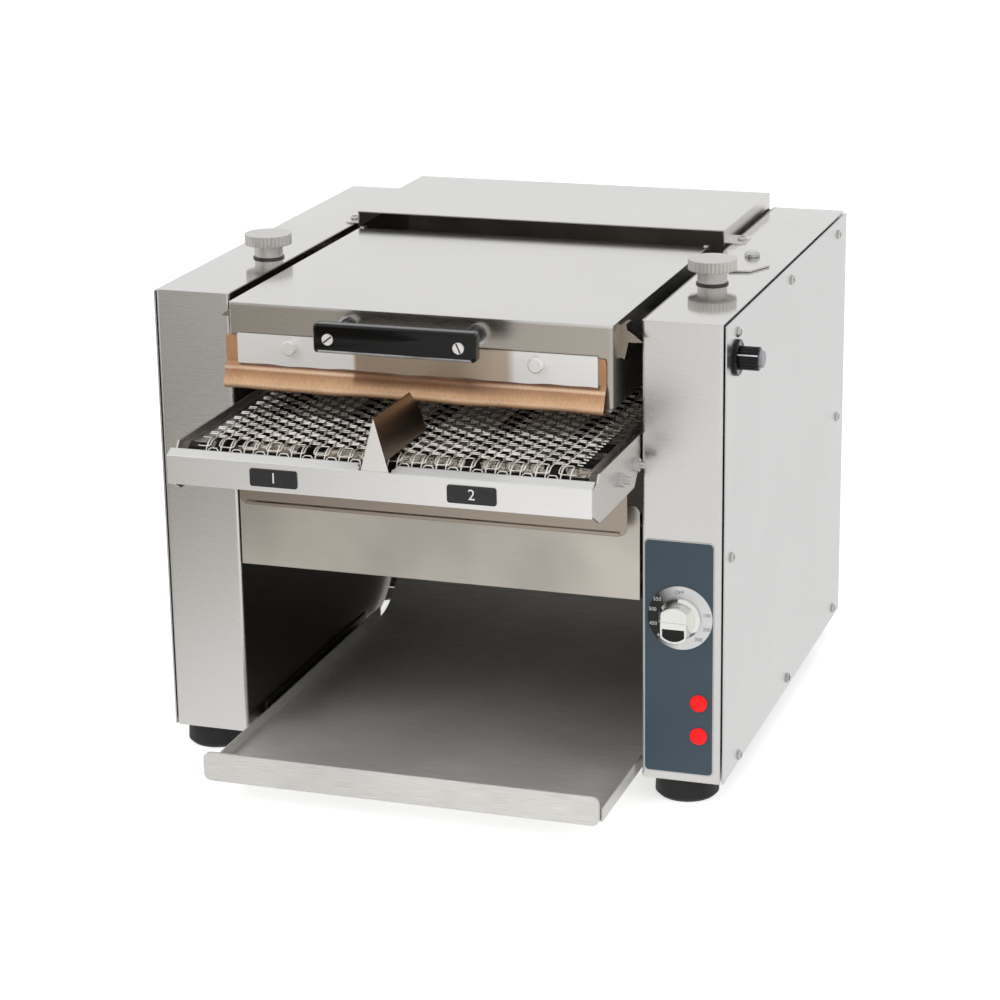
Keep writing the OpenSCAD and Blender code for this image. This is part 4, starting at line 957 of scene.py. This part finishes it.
def addSpeedKnob(shape):
    skirt = addTurned(shape["skirt"], *shape["skirtSpan"], shape["skirtSides"], shape["skirtEdge"])
    body = addTurned(shape["body"], shape["skirtSpan"][1], shape["bodyTop"], shape["ribs"], shape["bodyEdge"])
    step = 2 * math.pi / shape["ribs"]
    chooseFaces(body, lambda f: abs(f.normal.z) < 1 - squareOn
                and int(math.atan2(f.center.y, f.center.x) / step + shape["ribs"]) % 2 == 0)
    bpy.ops.mesh.inset(thickness=shape["ribEdge"] / 1000, depth=shape["rib"] / 1000, use_individual=True)
    bpy.ops.object.mode_set(mode="OBJECT")
    cap = addTurned(shape["cap"], *shape["capSpan"], shape["capSides"], shape["capEdge"])
    line = addRecess(shape["lineLong"], shape["lineWide"], shape["lineThick"], False)
    out = shape["body"] + shape["rib"] + shape["linePast"]
    line.rotation_euler = (math.pi / 2 - shape["lineUp"], 0, 0)
    line.location = at(panelX + shape["lineOut"], shape["y"] - out * math.cos(shape["lineUp"]),
                       shape["z"] + out * math.sin(shape["lineUp"]))
    settle(line)
    for piece in (skirt, body, cap):
        standOut(piece, shape)
    grip = joinPieces([skirt, body], "speedGrip")
    return grip, joinPieces([cap], "speedCap"), joinPieces([line], "speedPointer")


speedGrip, speedCap, speedPointer = addSpeedKnob(speedShape)
wear(speedGrip, finishes["handleBakelite"], "speed")
wear(speedCap, finishes["capGrey"], "speed")
wear(speedPointer, finishes["labelPrint"], "speed")
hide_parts("speed_knob")


# small screw heads half way along the lower edge of each side panel
lowScrewShape = {"radius": 4.2, "high": 2.0, "sides": 28, "edge": 0.8}


def addLowScrews(shape):
    heads = []
    for sign in (-1, 1):
        head = addTurned(shape["radius"], 0, shape["high"], shape["sides"], shape["edge"])
        head.rotation_euler = (0, sign * math.pi / 2, 0)
        head.location = at(sign * panelX, lowScrewAt["y"], lowScrewAt["z"])
        settle(head)
        heads.append(head)
    return joinPieces(heads, "lowScrewHeads")


lowScrewHeads = addLowScrews(lowScrewShape)
wear(lowScrewHeads, finishes["brightFastener"], "frame")


# thermostat knob: black inlay in the lower half of the grip, thin dark crease above it in painted shade
inlayShape = {
    "front": -22.75, "radius": 12.6, "half": 8.9, "top": -2.4, "thick": 0.3, "rim": 0.5, "dish": 0.12,
    "lean": 3.3, "creaseUp": 2.6, "creaseBack": 0.36, "creasePast": 1.4, "creaseWide": 0.55,
    "creaseDeep": 0.16,
}


def addInlay(shape):
    clearSelection()
    bpy.ops.mesh.primitive_circle_add(vertices=64, radius=shape["radius"] / 1000, fill_type="NGON",
                                      rotation=(math.pi / 2, 0, 0))
    inlay = bpy.context.object
    settle(inlay)
    bpy.ops.object.mode_set(mode="EDIT")
    for spot, away in (((0, 0, shape["top"]), (0, 0, 1)), ((shape["half"], 0, 0), (1, 0, 0)),
                       ((-shape["half"], 0, 0), (-1, 0, 0))):
        bpy.ops.mesh.select_all(action="SELECT")
        bpy.ops.mesh.bisect(plane_co=[c / 1000 for c in spot], plane_no=away, clear_outer=True)
    bpy.ops.mesh.select_all(action="SELECT")
    bpy.ops.mesh.extrude_region_move(TRANSFORM_OT_translate={"value": (0, -shape["thick"] / 1000, 0)})
    bpy.ops.mesh.inset(thickness=shape["rim"] / 1000, depth=0.0)
    bpy.ops.transform.translate(value=(0, shape["dish"] / 1000, 0))
    bpy.ops.mesh.select_all(action="SELECT")
    bpy.ops.mesh.normals_make_consistent(inside=False)
    bpy.ops.object.mode_set(mode="OBJECT")
    inlay.rotation_euler = (math.radians(shape["lean"]), 0, 0)
    inlay.location = at(dialAt["x"], shape["front"], dialAt["z"])
    settle(inlay)
    creaseLong = 2 * shape["half"] + shape["creasePast"]
    crease = addRecess(creaseLong, shape["creaseWide"], shape["creaseDeep"], False)
    crease.rotation_euler = (math.pi / 2, 0, 0)
    crease.location = at(dialAt["x"], shape["front"] + shape["creaseBack"], dialAt["z"] + shape["creaseUp"])
    settle(crease)
    return joinPieces([inlay], "knobInlay"), joinPieces([crease], "knobCrease")


knobInlay, knobCrease = addInlay(inlayShape)
wear(knobInlay, finishes["handleBakelite"], "thermostat")
wear(knobCrease, finishes["oiledSteelAndRecessShade"], "thermostat")
print("handle and knobs shaped")


# stage: white floor that keeps the shadow, soft boxes, pale surroundings with a darker front left
stageLook = {
    "floorSize": 14.0, "floorColor": 0.8, "cameraLift": 0.62, "worldStrength": 0.55, "shine": 0.89,
    "nearColor": (0.97, 0.965, 0.95), "darkColor": (0.2, 0.17, 0.14), "darkSpot": (-1.0, -0.95),
    "darkReach": (0.85, 1.15), "darkFade": (0.15, 1.2), "aim": (0, 0, 0.2),
    "flag": {"place": (-1.55, -2.3, 0.75), "size": (1.7, 1.5), "turn": -18, "color": (0.17, 0.15, 0.13)},
    "lamps": [("keyBox", (-1.3, -2.0, 2.1), 1.6, 26.0), ("topBox", (0.2, 0.3, 2.4), 2.2, 16.0),
              ("rightBox", (2.3, -0.6, 1.5), 1.6, 14.0)],
}


def emptyMaterial(name):
    material = bpy.data.materials.new(name)
    material.use_nodes = True
    tree = material.node_tree
    tree.nodes.remove(tree.nodes["Principled BSDF"])
    return material, tree, tree.nodes["Material Output"].inputs["Surface"]


def floorInSteel(tree, look):
    # what the steel sees of the floor: white nearby, darker and warmer off at the front left
    coords = tree.nodes.new("ShaderNodeTexCoord")
    parts = tree.nodes.new("ShaderNodeSeparateXYZ")
    link(tree, coords.outputs["Object"], parts.inputs[0])
    squares = []
    for k in range(2):
        off = sums(tree, "SUBTRACT", parts.outputs[k], look["darkSpot"][k])
        squares.append(sums(tree, "POWER", sums(tree, "DIVIDE", off, look["darkReach"][k]), 2.0))
    fade = tree.nodes.new("ShaderNodeMapRange")
    fade.interpolation_type = "SMOOTHSTEP"
    fade.inputs["From Min"].default_value = look["darkFade"][0]
    fade.inputs["From Max"].default_value = look["darkFade"][1]
    link(tree, sums(tree, "SQRT", sums(tree, "ADD", *squares)), fade.inputs["Value"])
    seen = tree.nodes.new("ShaderNodeEmission")
    tone = blendColor(tree, fade.outputs["Result"], look["darkColor"], look["nearColor"])
    link(tree, tone, seen.inputs["Color"])
    return seen


def addFloor(look):
    clearSelection()
    bpy.ops.mesh.primitive_plane_add(size=look["floorSize"], location=(0, 0, 0))
    floor = bpy.context.object
    floor.name = "studioFloor"
    material, tree, surface = emptyMaterial("studioFloor")
    path = tree.nodes.new("ShaderNodeLightPath")
    matte = tree.nodes.new("ShaderNodeBsdfDiffuse")
    matte.inputs["Color"].default_value = (look["floorColor"],) * 3 + (1,)
    glow = tree.nodes.new("ShaderNodeEmission")
    lift = sums(tree, "MULTIPLY", path.outputs["Is Camera Ray"], look["cameraLift"])
    link(tree, lift, glow.inputs["Strength"])
    total = tree.nodes.new("ShaderNodeAddShader")
    link(tree, matte.outputs[0], total.inputs[0])
    link(tree, glow.outputs[0], total.inputs[1])
    choose = tree.nodes.new("ShaderNodeMixShader")
    link(tree, path.outputs["Is Glossy Ray"], choose.inputs["Fac"])
    link(tree, total.outputs[0], choose.inputs[1])
    link(tree, floorInSteel(tree, look).outputs[0], choose.inputs[2])
    link(tree, choose.outputs[0], surface)
    floor.data.materials.append(material)


def addSurroundings(look):
    # white to the camera, a little less to the steel, and dimmer as light
    world = bpy.data.worlds.new("studio")
    bpy.context.scene.world = world
    world.use_nodes = True
    sky = world.node_tree
    back = sky.nodes["Background"]
    path = sky.nodes.new("ShaderNodeLightPath")
    seenBy = sums(sky, "MAXIMUM", path.outputs["Is Camera Ray"], path.outputs["Is Glossy Ray"])
    level = ranged(sky, path.outputs["Is Glossy Ray"], 1.0, look["shine"], 0.0, 1.0)
    outside = sums(sky, "MULTIPLY", ranged(sky, seenBy, look["worldStrength"], 1.0, 0.0, 1.0), level)
    link(sky, outside, back.inputs["Strength"])
    back.inputs["Color"].default_value = (1, 1, 1, 1)


def addFlag(flag):
    # a dark flag at the front left, seen by the steel alone
    clearSelection()
    upright = (math.pi / 2, 0, math.radians(flag["turn"]))
    bpy.ops.mesh.primitive_plane_add(size=1, location=flag["place"], rotation=upright)
    card = bpy.context.object
    card.name = "studioFlag"
    card.scale = (*flag["size"], 1)
    settle(card)
    material, tree, surface = emptyMaterial("studioFlag")
    dim = tree.nodes.new("ShaderNodeEmission")
    dim.inputs["Color"].default_value = flag["color"] + (1,)
    link(tree, dim.outputs[0], surface)
    card.data.materials.append(material)
    card.visible_camera = False
    card.visible_diffuse = False
    card.visible_shadow = False


def addLamps(look):
    for name, place, size, power in look["lamps"]:
        lamp = bpy.data.lights.new(name, "AREA")
        lamp.size = size
        lamp.energy = power
        holder = bpy.data.objects.new(name, lamp)
        bpy.context.collection.objects.link(holder)
        holder.location = place
        aim = Vector(look["aim"]) - Vector(place)
        holder.rotation_euler = aim.to_track_quat("-Z", "Y").to_euler()
        holder.visible_glossy = False


addFloor(stageLook)
addSurroundings(stageLook)
addFlag(stageLook["flag"])
addLamps(stageLook)
bpy.context.scene.view_settings.view_transform = "Standard"
print("stage ready")
